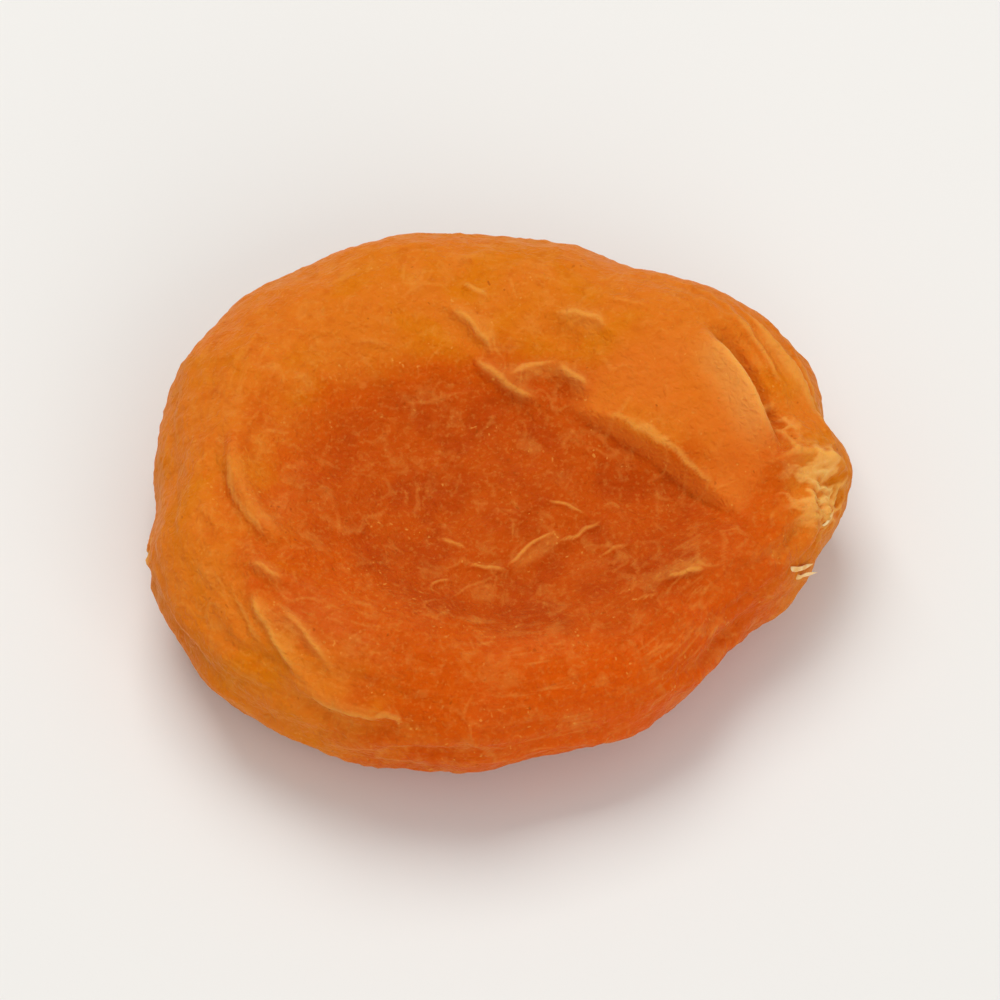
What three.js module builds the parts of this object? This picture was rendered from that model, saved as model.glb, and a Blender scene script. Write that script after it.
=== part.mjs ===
// One dried apricot: stoned, pressed flat and dried whole, lying on its back.
// Millimetres, +Z up, origin under the middle of its box, on the surface that it lies on.
//
// The skin is one closed surface. Each face is a disc: its middle is sunken, and
// round it runs a thick rim that rolls over to the widest line, the seam, where the
// two faces meet. A place on a face is given by its bearing round the fruit and by
// its reach, 0 in the middle of the face and 1 at the seam. Folds, lumps and the
// slit are then raised or cut square to the skin.

import * as THREE from 'three';

// Plan: the edge's distance from the middle, every 30 degrees from +X towards +Y
const EDGE_RADII = [19.9, 19.9, 17.0, 17.5, 19.0, 20.5, 21.0, 21.6, 19.8, 18.1, 17.4, 17.0];

// Section: heights above and below the seam, and the rim's breadth
const SEAM_HEIGHT = 5.6;
const TOP_RISE = 6.5;
const UNDER_DROP = 5.55;
const ROLL_BREADTH = 5.4;
const ROLL_START = 0.66; // the reach at which the face turns into the rolled rim
const ROUND_FROM = [0.15, 0.6]; // reaches between which changes round the fruit come in
const FACE_FADE = 0.55; // how upright the skin is where a face's own folds start to fade
const SEAM_FADE = [0.3, 0.9]; // how sloped the skin is where the flanks' wrinkles come in
const SEAM_WAVES = [
  { turns: 2, phase: 0.8, high: 0.3 },
  { turns: 3, phase: 0, high: 0.2 },
];

// Local changes round the fruit: bearing and spread in degrees, change in mm
const EDGE_SWELLS = [
  { at: 4, spread: 6, by: 0.9 }, // the torn tip
  { at: 13, spread: 3, by: -0.25 },
  { at: -23, spread: 5, by: 0.25 },
  { at: -38, spread: 4, by: -0.2 },
];
const CREST_SWELLS = [
  { at: -4, spread: 17, by: -2.1 }, // the rim is low where the stone came out
  { at: 24, spread: 18, by: -0.7 },
  { at: 275, spread: 60, by: -1.6 }, // the near side slopes gently
  { at: 110, spread: 45, by: 0.25 },
  { at: 190, spread: 25, by: -0.3 },
];
const ROLL_SWELLS = [
  { at: 0, spread: 30, by: -0.9 },
  { at: 270, spread: 55, by: 1.5 },
  { at: 130, spread: 40, by: 0.5 },
];

// The sunken middle of each face: a wide shallow dish with a deeper floor in it
const TOP_HOLLOW = {
  at: [0.8, -2.2], half: [13.4, 9.4], turn: -10, dish: 1.5, dishEdge: 1.8, floor: 2.0, floorEdge: [0.4, 1.35],
};
const UNDER_HOLLOW = {
  at: [-1.0, 0.5], half: [12.0, 9.4], turn: 12, dish: 0.7, dishEdge: 1.7, floor: 1.9, floorEdge: [0.3, 1.4],
};

// The underside is lowest at three places, and pressed flat there
const FEET = { count: 3, first: 100, swing: 0.42 };

// The thick lobe between the floor and the slit: a steep step along its edge
const LOBE = { at: [9.2, 0.3], turn: -34, half: 5.2, bow: 0.3, high: 1.15, step: [-0.4, 0.3], breadth: 4.8 };

// The slit that the stone came out of, with a raised lip inside and a low one outside
const SLIT = {
  at: [14.8, 4.7], turn: -58, half: 3.7, bow: 0.5,
  deep: 1.7, inner: 0.4, outer: 0.8, lip: 0.6, lipAt: -0.9, lipBreadth: 0.8,
  drop: 1.1, dropEdge: [-0.2, 0.9], dropFrom: 1.0, dropBreadth: 2.8,
};

// Folds of the skin. Each runs through "at", turned from +X by "turn" degrees, is
// twice "half" long and bows to its left. "left" and "right" are the breadths of
// its slopes, and "dip" is the depth of the furrow at the foot of the steeper one,
// whose place and breadth go by the breadth of that slope.
const FURROW = { away: 2.1, breadth: 1.3 };
const TOP_FOLDS = [
  { at: [-14.4, -3.1], turn: -65, half: 4.0, bow: -1.0, high: 0.55, left: 0.9, right: 0.55, dip: 0.35 },
  { at: [-14.0, -8.8], turn: -36, half: 1.5, bow: 0.1, high: 0.28, left: 0.8, right: 0.5, dip: 0.15 },
  { at: [-13.5, -12.5], turn: -60, half: 3.4, bow: -0.3, high: 0.36, left: 0.9, right: 0.6, dip: 0.2 },
  { at: [-11.7, -13.0], turn: -50, half: 2.4, bow: 0.1, high: 0.26, left: 0.8, right: 0.6, dip: 0.15 },
  { at: [-9.6, -16.9], turn: -17, half: 2.9, bow: -0.5, high: 0.4, left: 0.9, right: 0.6, dip: 0.2 },
  { at: [-1.7, 8.4], turn: -42, half: 2.3, bow: 0.2, high: 0.34, left: 0.9, right: 0.5, dip: 0.2 },
  { at: [0.3, 5.4], turn: -32, half: 2.5, bow: -0.15, high: 0.36, left: 0.9, right: 0.5, dip: 0.2 },
  { at: [1.8, 5.9], turn: 14, half: 1.6, bow: 0.1, high: 0.22, left: 0.8, right: 0.5, dip: 0.1 },
  { at: [4.2, 5.2], turn: -38, half: 1.5, bow: 0.1, high: 0.3, left: 0.8, right: 0.5, dip: 0.15 },
  { at: [4.8, 8.6], turn: -24, half: 1.9, bow: 0.1, high: 0.34, left: 1.0, right: 0.55, dip: 0.15 },
  { at: [2.0, -5.2], turn: 36, half: 2.2, bow: -0.2, high: 0.16, left: 0.7, right: 0.6, dip: 0.05 },
  { at: [10.8, -7.4], turn: 12, half: 2.4, bow: 0.3, high: 0.2, left: 0.9, right: 0.7, dip: 0.1 },
  { at: [19.6, 0.2], turn: 7, half: 3.8, bow: 0.2, high: 0.6, left: 0.9, right: 0.7, dip: 0.25 },
  { at: [19.6, -3.4], turn: -70, half: 2.2, bow: 0.3, high: 0.4, left: 0.7, right: 0.6, dip: 0.2 },
  { at: [17.6, 6.8], turn: -49, half: 3.6, bow: 0.5, high: 0.3, left: 0.6, right: 0.8, dip: 0.2 },
];
const UNDER_FOLDS = [
  { at: [-9.5, 4.5], turn: 62, half: 5.6, bow: 1.2, high: 0.55, left: 1.0, right: 0.6, dip: 0.35 },
  { at: [2.5, -6.8], turn: 8, half: 6.2, bow: -0.9, high: 0.55, left: 0.6, right: 1.0, dip: 0.3 },
  { at: [9.5, 2.6], turn: 100, half: 4.6, bow: -0.8, high: 0.5, left: 0.9, right: 0.6, dip: 0.3 },
  { at: [-1.5, 2.0], turn: -24, half: 5.0, bow: 0.8, high: 0.35, left: 0.8, right: 0.7, dip: 0.2 },
  { at: [-14.2, -7.5], turn: 118, half: 3.6, bow: 0.5, high: 0.35, left: 0.8, right: 0.6, dip: 0.2 },
];

// Gentle lumps all over: each is a wave with its numbers along X and Y per mm
const LUMPS = [
  { along: [0.42, 0.25], phase: 1.0, high: 0.11 },
  { along: [-0.21, 0.47], phase: 0.4, high: 0.11 },
  { along: [0.71, -0.5], phase: 0.0, high: 0.08 },
  { along: [0.4, 1.05], phase: 2.0, high: 0.06 },
  { along: [-1.0, 0.55], phase: 4.1, high: 0.05 },
];
const UNDER_LUMP_SHARE = 0.6;

// Folds along the flanks. These stand at a bearing in degrees and a distance above the seam.
const FLANK_RADIUS = 20;
const FLANK_FOLDS = [
  { at: [258, 1.4], turn: 7, half: 5.2, bow: 0.7, high: 0.34, left: 0.9, right: 0.55, dip: 0.25 },
  { at: [286, -1.2], turn: -9, half: 5.6, bow: 0.8, high: 0.4, left: 0.9, right: 0.55, dip: 0.3 },
  { at: [318, 0.6], turn: -13, half: 4.4, bow: -0.6, high: 0.38, left: 0.6, right: 0.9, dip: 0.25 },
  { at: [341, -1.8], turn: 16, half: 3.6, bow: 0.4, high: 0.34, left: 0.8, right: 0.5, dip: 0.2 },
  { at: [30, -0.8], turn: -12, half: 4.6, bow: 0.5, high: 0.38, left: 0.8, right: 0.55, dip: 0.25 },
  { at: [66, 1.0], turn: 10, half: 5.0, bow: -0.7, high: 0.36, left: 0.55, right: 0.9, dip: 0.25 },
  { at: [98, -1.4], turn: -6, half: 6.0, bow: 0.9, high: 0.42, left: 0.9, right: 0.55, dip: 0.3 },
  { at: [131, 1.2], turn: 12, half: 4.8, bow: 0.5, high: 0.34, left: 0.9, right: 0.5, dip: 0.25 },
  { at: [165, -0.6], turn: -11, half: 5.2, bow: -0.6, high: 0.4, left: 0.6, right: 0.9, dip: 0.3 },
  { at: [199, 0.9], turn: 9, half: 4.8, bow: 0.6, high: 0.36, left: 0.9, right: 0.55, dip: 0.25 },
  { at: [228, -1.3], turn: -8, half: 5.4, bow: 0.7, high: 0.4, left: 0.9, right: 0.55, dip: 0.3 },
];

// Wrinkles side by side along the flanks: rounded ridges with narrow grooves between
const FLANK_WRINKLES = [
  { apart: 3.3, high: 0.14, wander: 1.4, turns: 3, fadeTurns: 2, phase: 0.6 },
  { apart: 2.3, high: 0.09, wander: 1.1, turns: 5, fadeTurns: 3, phase: 2.2 },
];

const CELLS_ACROSS = 52; // facets across each face, an even number
const FLESH_COLOUR = 0xd9721a;
const FLESH_ROUGHNESS = 0.55;

const QUARTER_TURN = Math.PI / 2;

function smoothStep(low, high, value) {
  const t = THREE.MathUtils.clamp((value - low) / (high - low), 0, 1);
  return t * t * (3 - 2 * t);
}

function bell(value, breadth) {
  return Math.exp(-((value / breadth) ** 2));
}

// The sum of the changes that a list of swells makes at one bearing
function swellAt(swells, bearing) {
  const degrees = THREE.MathUtils.radToDeg(bearing);
  let sum = 0;
  for (const swell of swells) {
    const gap = THREE.MathUtils.euclideanModulo(degrees - swell.at + 180, 360) - 180;
    sum += swell.by * bell(gap, swell.spread);
  }
  return sum;
}

// The edge's radius: a smooth curve through the listed radii, with its swells
function edgeRadius(bearing) {
  const count = EDGE_RADII.length;
  const place = (THREE.MathUtils.euclideanModulo(bearing, 2 * Math.PI) / (2 * Math.PI)) * count;
  const first = Math.floor(place);
  const t = place - first;
  const [a, b, c, d] = [-1, 0, 1, 2].map((step) => EDGE_RADII[(first + step + count) % count]);
  const slope = c - a;
  const bend = 2 * a - 5 * b + 4 * c - d;
  const twist = 3 * (b - c) + d - a;
  return b + 0.5 * t * (slope + t * (bend + t * twist)) + swellAt(EDGE_SWELLS, bearing);
}

// A place seen from a fold: how far along it, and how far to the left of its bowed line
function placeByFold(x, y, fold) {
  const turn = THREE.MathUtils.degToRad(fold.turn);
  const dx = x - fold.at[0];
  const dy = y - fold.at[1];
  const along = dx * Math.cos(turn) + dy * Math.sin(turn);
  const bowed = fold.bow * (1 - (along / fold.half) ** 2);
  const left = dy * Math.cos(turn) - dx * Math.sin(turn) - bowed;
  return { share: along / fold.half, left };
}

function foldHeight(x, y, fold) {
  const { share, left } = placeByFold(x, y, fold);
  const ends = Math.exp(-(share ** 4));
  const crest = bell(left, left > 0 ? fold.left : fold.right);
  const steep = Math.min(fold.left, fold.right);
  const steepSide = fold.left < fold.right ? 1 : -1;
  const furrow = bell(left - steepSide * steep * FURROW.away, steep * FURROW.breadth);
  return ends * (fold.high * crest - fold.dip * furrow);
}

function lobeHeight(x, y) {
  const { share, left } = placeByFold(x, y, LOBE);
  const ends = Math.exp(-(share ** 4));
  const step = smoothStep(LOBE.step[0], LOBE.step[1], left);
  return LOBE.high * ends * step * bell(Math.max(left, 0), LOBE.breadth);
}

function slitHeight(x, y) {
  const { share, left } = placeByFold(x, y, SLIT);
  const ends = Math.exp(-(share ** 4));
  const cut = SLIT.deep * bell(left, left > 0 ? SLIT.outer : SLIT.inner);
  const lip = SLIT.lip * bell(left - SLIT.lipAt, SLIT.lipBreadth);
  const edge = smoothStep(SLIT.dropEdge[0], SLIT.dropEdge[1], left);
  const drop = SLIT.drop * edge * bell(Math.max(left - SLIT.dropFrom, 0), SLIT.dropBreadth);
  return ends * (lip - cut - drop);
}

function lumpHeight(x, y) {
  let sum = 0;
  for (const lump of LUMPS) {
    sum += lump.high * Math.sin(lump.along[0] * x + lump.along[1] * y + lump.phase);
  }
  return sum;
}

// The folds of the flanks, at a bearing and a distance over the seam
function flankFoldHeight(bearing, overSeam) {
  let sum = 0;
  for (const fold of FLANK_FOLDS) {
    const gap = bearing - THREE.MathUtils.degToRad(fold.at[0]);
    const along = FLANK_RADIUS * (THREE.MathUtils.euclideanModulo(gap + Math.PI, 2 * Math.PI) - Math.PI);
    sum += foldHeight(along, overSeam - fold.at[1], { ...fold, at: [0, 0] });
  }
  return sum;
}

// The wrinkles of the flanks, which wander and fade as they go round
function flankWrinkleHeight(bearing, overSeam) {
  let sum = 0;
  for (const { apart, high, wander, turns, fadeTurns, phase } of FLANK_WRINKLES) {
    const across = overSeam + wander * Math.sin(turns * bearing + phase);
    const strength = 0.5 + 0.5 * Math.sin(fadeTurns * bearing + phase);
    sum += high * strength * (2 * Math.abs(Math.sin((Math.PI * across) / apart)) - 1);
  }
  return sum;
}

// How far the middle of a face is sunken at a place
function hollowDepth(x, y, hollow) {
  const turn = THREE.MathUtils.degToRad(hollow.turn);
  const dx = x - hollow.at[0];
  const dy = y - hollow.at[1];
  const along = (dx * Math.cos(turn) + dy * Math.sin(turn)) / hollow.half[0];
  const across = (dy * Math.cos(turn) - dx * Math.sin(turn)) / hollow.half[1];
  const out = Math.hypot(along, across);
  const dish = hollow.dish * (1 - smoothStep(0, hollow.dishEdge, out));
  const floor = hollow.floor * (1 - smoothStep(hollow.floorEdge[0], hollow.floorEdge[1], out));
  return dish + floor;
}

// How far the seam climbs and dips as it goes round
function seamWander(bearing) {
  return SEAM_WAVES.reduce((sum, wave) => sum + wave.high * Math.sin(wave.turns * bearing + wave.phase), 0);
}

// The point of the skin at one bearing and reach, on the top face or the underside
function skinPoint(bearing, reach, isTop) {
  const radius = edgeRadius(bearing);
  const breadth = ROLL_BREADTH + swellAt(ROLL_SWELLS, bearing);
  const roll = THREE.MathUtils.clamp((reach - ROLL_START) / (1 - ROLL_START), 0, 1) * QUARTER_TURN;
  const inward = Math.cos(roll);
  const outward = Math.sin(roll);
  const flat = (radius - breadth) * Math.min(reach / ROLL_START, 1);
  const fromMiddle = flat + breadth * outward;
  const x = fromMiddle * Math.cos(bearing);
  const y = fromMiddle * Math.sin(bearing);

  // The same place with the rolled rim laid out flat, where folds keep their breadth
  const spread = flat + 0.5 * (breadth + TOP_RISE) * roll;
  const spreadX = spread * Math.cos(bearing);
  const spreadY = spread * Math.sin(bearing);

  const round = smoothStep(ROUND_FROM[0], ROUND_FROM[1], reach); // the middle of a face has no bearing
  const onFace = smoothStep(0, FACE_FADE, inward); // the seam belongs to both faces
  const seam = SEAM_HEIGHT + round * seamWander(bearing);
  const fromSeam = radius - breadth + 0.5 * (breadth + TOP_RISE) * QUARTER_TURN - spread;
  const overSeam = isTop ? fromSeam : -fromSeam;
  const flank = flankFoldHeight(bearing, overSeam)
    + smoothStep(SEAM_FADE[0], SEAM_FADE[1], outward) * flankWrinkleHeight(bearing, overSeam);

  let height;
  let raised;
  if (isTop) {
    const rise = TOP_RISE + round * swellAt(CREST_SWELLS, bearing);
    height = seam + rise * inward - onFace * hollowDepth(x, y, TOP_HOLLOW);
    raised = lobeHeight(spreadX, spreadY) + slitHeight(spreadX, spreadY);
    for (const fold of TOP_FOLDS) {
      raised += foldHeight(spreadX, spreadY, fold);
    }
    raised = onFace * raised + lumpHeight(x, y) + flank;
  } else {
    const feet = FEET.swing * Math.cos(FEET.count * (bearing - THREE.MathUtils.degToRad(FEET.first)));
    height = seam - (UNDER_DROP + round * feet) * inward + onFace * hollowDepth(x, y, UNDER_HOLLOW);
    raised = 0;
    for (const fold of UNDER_FOLDS) {
      raised += foldHeight(spreadX, spreadY, fold);
    }
    const share = THREE.MathUtils.lerp(1, UNDER_LUMP_SHARE, onFace);
    raised = onFace * raised + share * lumpHeight(x, y) + flank;
  }
  const side = outward * raised;
  const up = inward * raised * (isTop ? 1 : -1);
  return [x + side * Math.cos(bearing), y + side * Math.sin(bearing), Math.max(height + up, 0)];
}

// A square net laid over a round face: concentric squares become concentric rings
function discPlace(i, j) {
  const a = (2 * i) / CELLS_ACROSS - 1;
  const b = (2 * j) / CELLS_ACROSS - 1;
  const reach = Math.max(Math.abs(a), Math.abs(b));
  if (reach === 0) {
    return { bearing: 0, reach };
  }
  if (Math.abs(a) > Math.abs(b)) {
    return { bearing: ((Math.PI / 4) * b) / a + (a < 0 ? Math.PI : 0), reach };
  }
  return { bearing: QUARTER_TURN - ((Math.PI / 4) * a) / b + (b < 0 ? Math.PI : 0), reach };
}

// One closed net: a face above, a face below, and one row of points at the seam
function skinGeometry() {
  const positions = [];
  const indices = [];
  const side = CELLS_ACROSS + 1;
  const isSeam = (i, j) => i === 0 || j === 0 || i === CELLS_ACROSS || j === CELLS_ACROSS;
  const nets = { top: [], under: [] };
  for (const [name, isTop] of [['top', true], ['under', false]]) {
    for (let i = 0; i < side; i += 1) {
      for (let j = 0; j < side; j += 1) {
        if (!isTop && isSeam(i, j)) {
          nets.under.push(nets.top[i * side + j]);
          continue;
        }
        const { bearing, reach } = discPlace(i, j);
        nets[name].push(positions.length / 3);
        positions.push(...skinPoint(bearing, reach, isTop));
      }
    }
  }
  const addTriangle = (a, b, c, isTop) => indices.push(...(isTop ? [a, b, c] : [a, c, b]));
  for (const [name, isTop] of [['top', true], ['under', false]]) {
    for (let i = 0; i < CELLS_ACROSS; i += 1) {
      for (let j = 0; j < CELLS_ACROSS; j += 1) {
        const corner = (di, dj) => nets[name][(i + di) * side + j + dj];
        const [p, q, r, t] = [corner(0, 0), corner(1, 0), corner(1, 1), corner(0, 1)];
        const sameSign = i < CELLS_ACROSS / 2 === j < CELLS_ACROSS / 2;
        addTriangle(p, q, sameSign ? r : t, isTop);
        addTriangle(sameSign ? p : q, r, t, isTop);
      }
    }
  }
  const geometry = new THREE.BufferGeometry();
  geometry.setAttribute('position', new THREE.Float32BufferAttribute(positions, 3));
  geometry.setIndex(indices);
  geometry.computeBoundingBox();
  const middle = geometry.boundingBox.getCenter(new THREE.Vector3());
  geometry.translate(-middle.x, -middle.y, 0);
  geometry.computeVertexNormals();
  return geometry;
}

const flesh = new THREE.MeshStandardMaterial({
  color: FLESH_COLOUR, roughness: FLESH_ROUGHNESS, metalness: 0,
});

const apricot = new THREE.Mesh(skinGeometry(), flesh);
apricot.name = 'apricot';

const fruit = new THREE.Group();
fruit.add(apricot);

export default fruit;
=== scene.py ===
"""One dried apricot, stoned and pressed flat, on a pale floor.

The fruit is one closed skin, worked out as whole arrays from the same form as the
solid that it stands for, and then given the fine wrinkles, pores and colours of
dried flesh. Lengths are in millimetres until a mesh is made, and in metres after.
"""
import logging
import math
from dataclasses import dataclass, field
from enum import Enum

import bpy
import numpy as np
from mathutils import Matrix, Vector


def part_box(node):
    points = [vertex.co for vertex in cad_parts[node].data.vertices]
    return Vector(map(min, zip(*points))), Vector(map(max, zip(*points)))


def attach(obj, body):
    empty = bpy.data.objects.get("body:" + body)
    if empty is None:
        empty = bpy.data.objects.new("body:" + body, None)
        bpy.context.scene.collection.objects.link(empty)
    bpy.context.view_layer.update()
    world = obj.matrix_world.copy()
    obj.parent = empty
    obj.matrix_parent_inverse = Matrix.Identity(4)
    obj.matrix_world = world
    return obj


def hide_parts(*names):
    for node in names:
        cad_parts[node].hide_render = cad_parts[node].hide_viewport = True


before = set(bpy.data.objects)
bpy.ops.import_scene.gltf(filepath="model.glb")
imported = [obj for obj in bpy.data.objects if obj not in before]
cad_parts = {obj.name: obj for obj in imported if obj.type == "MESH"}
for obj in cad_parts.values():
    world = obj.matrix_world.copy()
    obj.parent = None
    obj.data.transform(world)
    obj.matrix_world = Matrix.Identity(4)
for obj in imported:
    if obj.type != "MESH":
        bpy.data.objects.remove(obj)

LOG = logging.getLogger("apricot")
MM = 0.001

# Where a fold's furrow lies beside its line and how broad it is, in breadths of the steeper slope
FURROW_AWAY = 2.1
FURROW_BREADTH = 1.3

Array = np.ndarray


class Face(Enum):
    """The two faces of the pressed fruit."""

    TOP = 1
    UNDER = -1


def smooth_step(low: float, high: float, value: Array) -> Array:
    """Rise smoothly from 0 to 1 between two values: 3t squared less 2t cubed.

    Args:
        low: where the rise starts.
        high: where the rise ends.
        value: the places at which it is wanted.

    Returns:
        The share of the rise at each place.
    """
    t = np.clip((value - low) / (high - low), 0.0, 1.0)
    return t * t * (3.0 - 2.0 * t)


def bell(value: Array, breadth: Array | float) -> Array:
    """Fall off from 1 as e to the minus (value / breadth) squared."""
    return np.exp(-((value / breadth) ** 2))


def turned(x: Array, y: Array, centre: tuple[float, float], degrees: float) -> tuple[Array, Array]:
    """Move a place into axes that stand at a centre, turned from +X.

    Args:
        x: places along +X.
        y: places along +Y.
        centre: where the new axes stand.
        degrees: how far they are turned anticlockwise.

    Returns:
        The distance along the first new axis and along the second.
    """
    angle = math.radians(degrees)
    dx = x - centre[0]
    dy = y - centre[1]
    along = dx * math.cos(angle) + dy * math.sin(angle)
    across = dy * math.cos(angle) - dx * math.sin(angle)
    return along, across


def mesh_object(name: str, points: Array, corners: Array, counts: Array) -> bpy.types.Object:
    """Put points and facets into a new smooth mesh in the scene.

    Args:
        name: the object's name.
        points: rows of three numbers, in metres.
        corners: the point numbers of all facets in a row, anticlockwise from outside.
        counts: how many corners each facet has.

    Returns:
        The new object, at the origin.
    """
    mesh = bpy.data.meshes.new(name)
    mesh.vertices.add(len(points))
    mesh.vertices.foreach_set("co", points.astype(np.float32).ravel())
    mesh.loops.add(len(corners))
    mesh.loops.foreach_set("vertex_index", corners.astype(np.int32))
    mesh.polygons.add(len(counts))
    mesh.polygons.foreach_set("loop_start", (np.cumsum(counts) - counts).astype(np.int32))
    mesh.update(calc_edges=True)
    mesh.validate()
    mesh.polygons.foreach_set("use_smooth", np.ones(len(counts), dtype=bool))
    piece = bpy.data.objects.new(name, mesh)
    bpy.context.scene.collection.objects.link(piece)
    return piece


@dataclass(frozen=True)
class Swell:
    """A local change round the fruit: bearing and spread in degrees, change in mm."""

    at: float
    spread: float
    by: float

    def height(self, bearing: Array) -> Array:
        """Return the change at each bearing: a bell over the gap to its own bearing."""
        gap = (np.degrees(bearing) - self.at + 180.0) % 360.0 - 180.0
        return self.by * bell(gap, self.spread)


@dataclass(frozen=True)
class Hollow:
    """The sunken middle of a face: a wide shallow dish with a deeper floor in it."""

    at: tuple[float, float]
    half: tuple[float, float]
    turn: float
    dish: float
    dish_edge: float
    floor: float
    floor_edge: tuple[float, float]

    def reach(self, x: Array, y: Array) -> Array:
        """Return how far out a place is, in half-breadths of the turned ellipse."""
        along, across = turned(x, y, self.at, self.turn)
        return np.hypot(along / self.half[0], across / self.half[1])

    def depth(self, x: Array, y: Array) -> Array:
        """Work out how far the face is sunken: the dish plus the floor, each falling off smoothly.

        Args:
            x: places along +X.
            y: places along +Y.

        Returns:
            The depth at each place.
        """
        out = self.reach(x, y)
        dish = self.dish * (1.0 - smooth_step(0.0, self.dish_edge, out))
        floor = self.floor * (1.0 - smooth_step(*self.floor_edge, out))
        return dish + floor


@dataclass(frozen=True)
class BowedLine:
    """A bowed line on the skin: its middle, its turn from +X in degrees, its half length and its bow."""

    at: tuple[float, float]
    turn: float
    half: float
    bow: float

    def beside(self, x: Array, y: Array) -> tuple[Array, Array]:
        """Work out where places are beside the line.

        Its bow falls off with the square of the share of its half length.

        Args:
            x: places along +X.
            y: places along +Y.

        Returns:
            How strongly the line shows, e to the minus share to the fourth, and the distance to its left.
        """
        along, across = turned(x, y, self.at, self.turn)
        share = along / self.half
        return np.exp(-(share**4)), across - self.bow * (1.0 - share**2)


@dataclass(frozen=True)
class Fold(BowedLine):
    """A fold of the skin along a bowed line, with slopes of two breadths and a furrow."""

    high: float
    left: float
    right: float
    dip: float

    def crest(self, x: Array, y: Array) -> Array:
        """Return 1 on the fold's line, falling to 0 down its slopes and past its ends."""
        shown, left = self.beside(x, y)
        return shown * bell(left, np.where(left > 0.0, self.left, self.right))

    def height(self, x: Array, y: Array) -> Array:
        """Work out the crest's height less the furrow at the foot of the steeper slope.

        Args:
            x: places along +X.
            y: places along +Y.

        Returns:
            The height at each place.
        """
        shown, left = self.beside(x, y)
        steep = min(self.left, self.right)
        steep_side = 1.0 if self.left < self.right else -1.0
        furrow = bell(left - steep_side * steep * FURROW_AWAY, steep * FURROW_BREADTH)
        return self.high * self.crest(x, y) - self.dip * shown * furrow


@dataclass(frozen=True)
class Lobe(BowedLine):
    """The thick lobe between the floor and the slit: a steep step along its edge."""

    at: tuple[float, float] = (9.2, 0.3)
    turn: float = -34.0
    half: float = 5.2
    bow: float = 0.3
    high: float = 1.15
    step: tuple[float, float] = (-0.4, 0.3)
    breadth: float = 4.8

    def height(self, x: Array, y: Array) -> Array:
        """Return a smooth step up across the line, which dies away behind it as a bell and at its ends."""
        shown, left = self.beside(x, y)
        return self.high * shown * smooth_step(*self.step, left) * bell(np.maximum(left, 0.0), self.breadth)


@dataclass(frozen=True)
class Slit(BowedLine):
    """The slit that the stone came out of: a cut with a raised lip inside and a low one outside."""

    at: tuple[float, float] = (14.8, 4.7)
    turn: float = -58.0
    half: float = 3.7
    bow: float = 0.5
    deep: float = 1.7
    inner: float = 0.4
    outer: float = 0.8
    lip: float = 0.6
    lip_at: float = -0.9
    lip_breadth: float = 0.8
    drop: float = 1.1
    drop_edge: tuple[float, float] = (-0.2, 0.9)
    drop_from: float = 1.0
    drop_breadth: float = 2.8
    crest_at: float = -0.54
    crest_breadth: float = 0.4
    fade_edge: tuple[float, float] = (-0.5, 0.0)
    fade_breadth: float = 2.0
    fade_share: float = 0.75
    # How narrow the painted shade in the cut is on its outer side, as a share of that slope's breadth.
    cleft_shade_share: float = 0.6

    def height(self, x: Array, y: Array) -> Array:
        """Work out the inner lip less the cut and less the outer lip's drop.

        Args:
            x: places along +X.
            y: places along +Y.

        Returns:
            The height at each place.
        """
        shown, left = self.beside(x, y)
        cut = self.deep * bell(left, np.where(left > 0.0, self.outer, self.inner))
        lip = self.lip * bell(left - self.lip_at, self.lip_breadth)
        behind = bell(np.maximum(left - self.drop_from, 0.0), self.drop_breadth)
        drop = self.drop * smooth_step(*self.drop_edge, left) * behind
        return shown * (lip - cut - drop)

    def pale_lip_and_painted_light(self, x: Array, y: Array) -> Array:
        """Work out where the inner lip is pale: along its crest, and in a weaker broad fade inwards. Its skin
        is paler than the flesh, and is made paler still as painted light, since its slope is in shade.

        Args:
            x: places along +X.
            y: places along +Y.

        Returns:
            How pale each place is, from 0 in the cut to 1 on the crest.
        """
        shown, left = self.beside(x, y)
        crest = bell(left - self.crest_at, self.crest_breadth)
        inwards = bell(np.minimum(left - self.lip_at, 0.0), self.fade_breadth)
        fade = self.fade_share * inwards * (1.0 - smooth_step(*self.fade_edge, left))
        return shown * np.maximum(crest, fade)

    def cleft_shade(self, x: Array, y: Array) -> Array:
        """Return 1 at the bottom of the cut, falling to 0 up its sides: where dark shade is painted into the
        cut.
        """
        shown, left = self.beside(x, y)
        return shown * bell(left, np.where(left > 0.0, self.cleft_shade_share * self.outer, self.inner))


@dataclass(frozen=True)
class Lump:
    """A gentle wave over the whole skin: its numbers along X and Y per mm, and its height."""

    along: tuple[float, float]
    phase: float
    high: float

    def height(self, x: Array, y: Array) -> Array:
        """Return the height times the sine of the place along the wave."""
        return self.high * np.sin(self.along[0] * x + self.along[1] * y + self.phase)


@dataclass(frozen=True)
class TornPatch:
    """A place where the skin is torn: where it is with all the skin laid flat, its breadths and strength."""

    at: tuple[float, float]
    breadth: tuple[float, float]
    strength: float

    def share(self, x: Array, y: Array) -> Array:
        """Return the strength, falling off as a bell with one breadth along X and one along Y."""
        return self.strength * bell(x - self.at[0], self.breadth[0]) * bell(y - self.at[1], self.breadth[1])


@dataclass(frozen=True)
class FlankWrinkles:
    """Wrinkles side by side along the flanks: rounded ridges with narrow grooves between."""

    apart: float
    high: float
    wander: float
    turns: int
    fade_turns: int
    phase: float

    def height(self, bearing: Array, over_seam: Array) -> Array:
        """Work out the size of a sine across the flank, shifted and weakened by slow sines round it.

        Args:
            bearing: the angle round the fruit, in radians.
            over_seam: how far over the seam each place is, along the skin.

        Returns:
            The height at each place.
        """
        across = over_seam + self.wander * np.sin(self.turns * bearing + self.phase)
        strength = 0.5 + 0.5 * np.sin(self.fade_turns * bearing + self.phase)
        return self.high * strength * (2.0 * np.abs(np.sin(math.pi * across / self.apart)) - 1.0)


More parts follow.
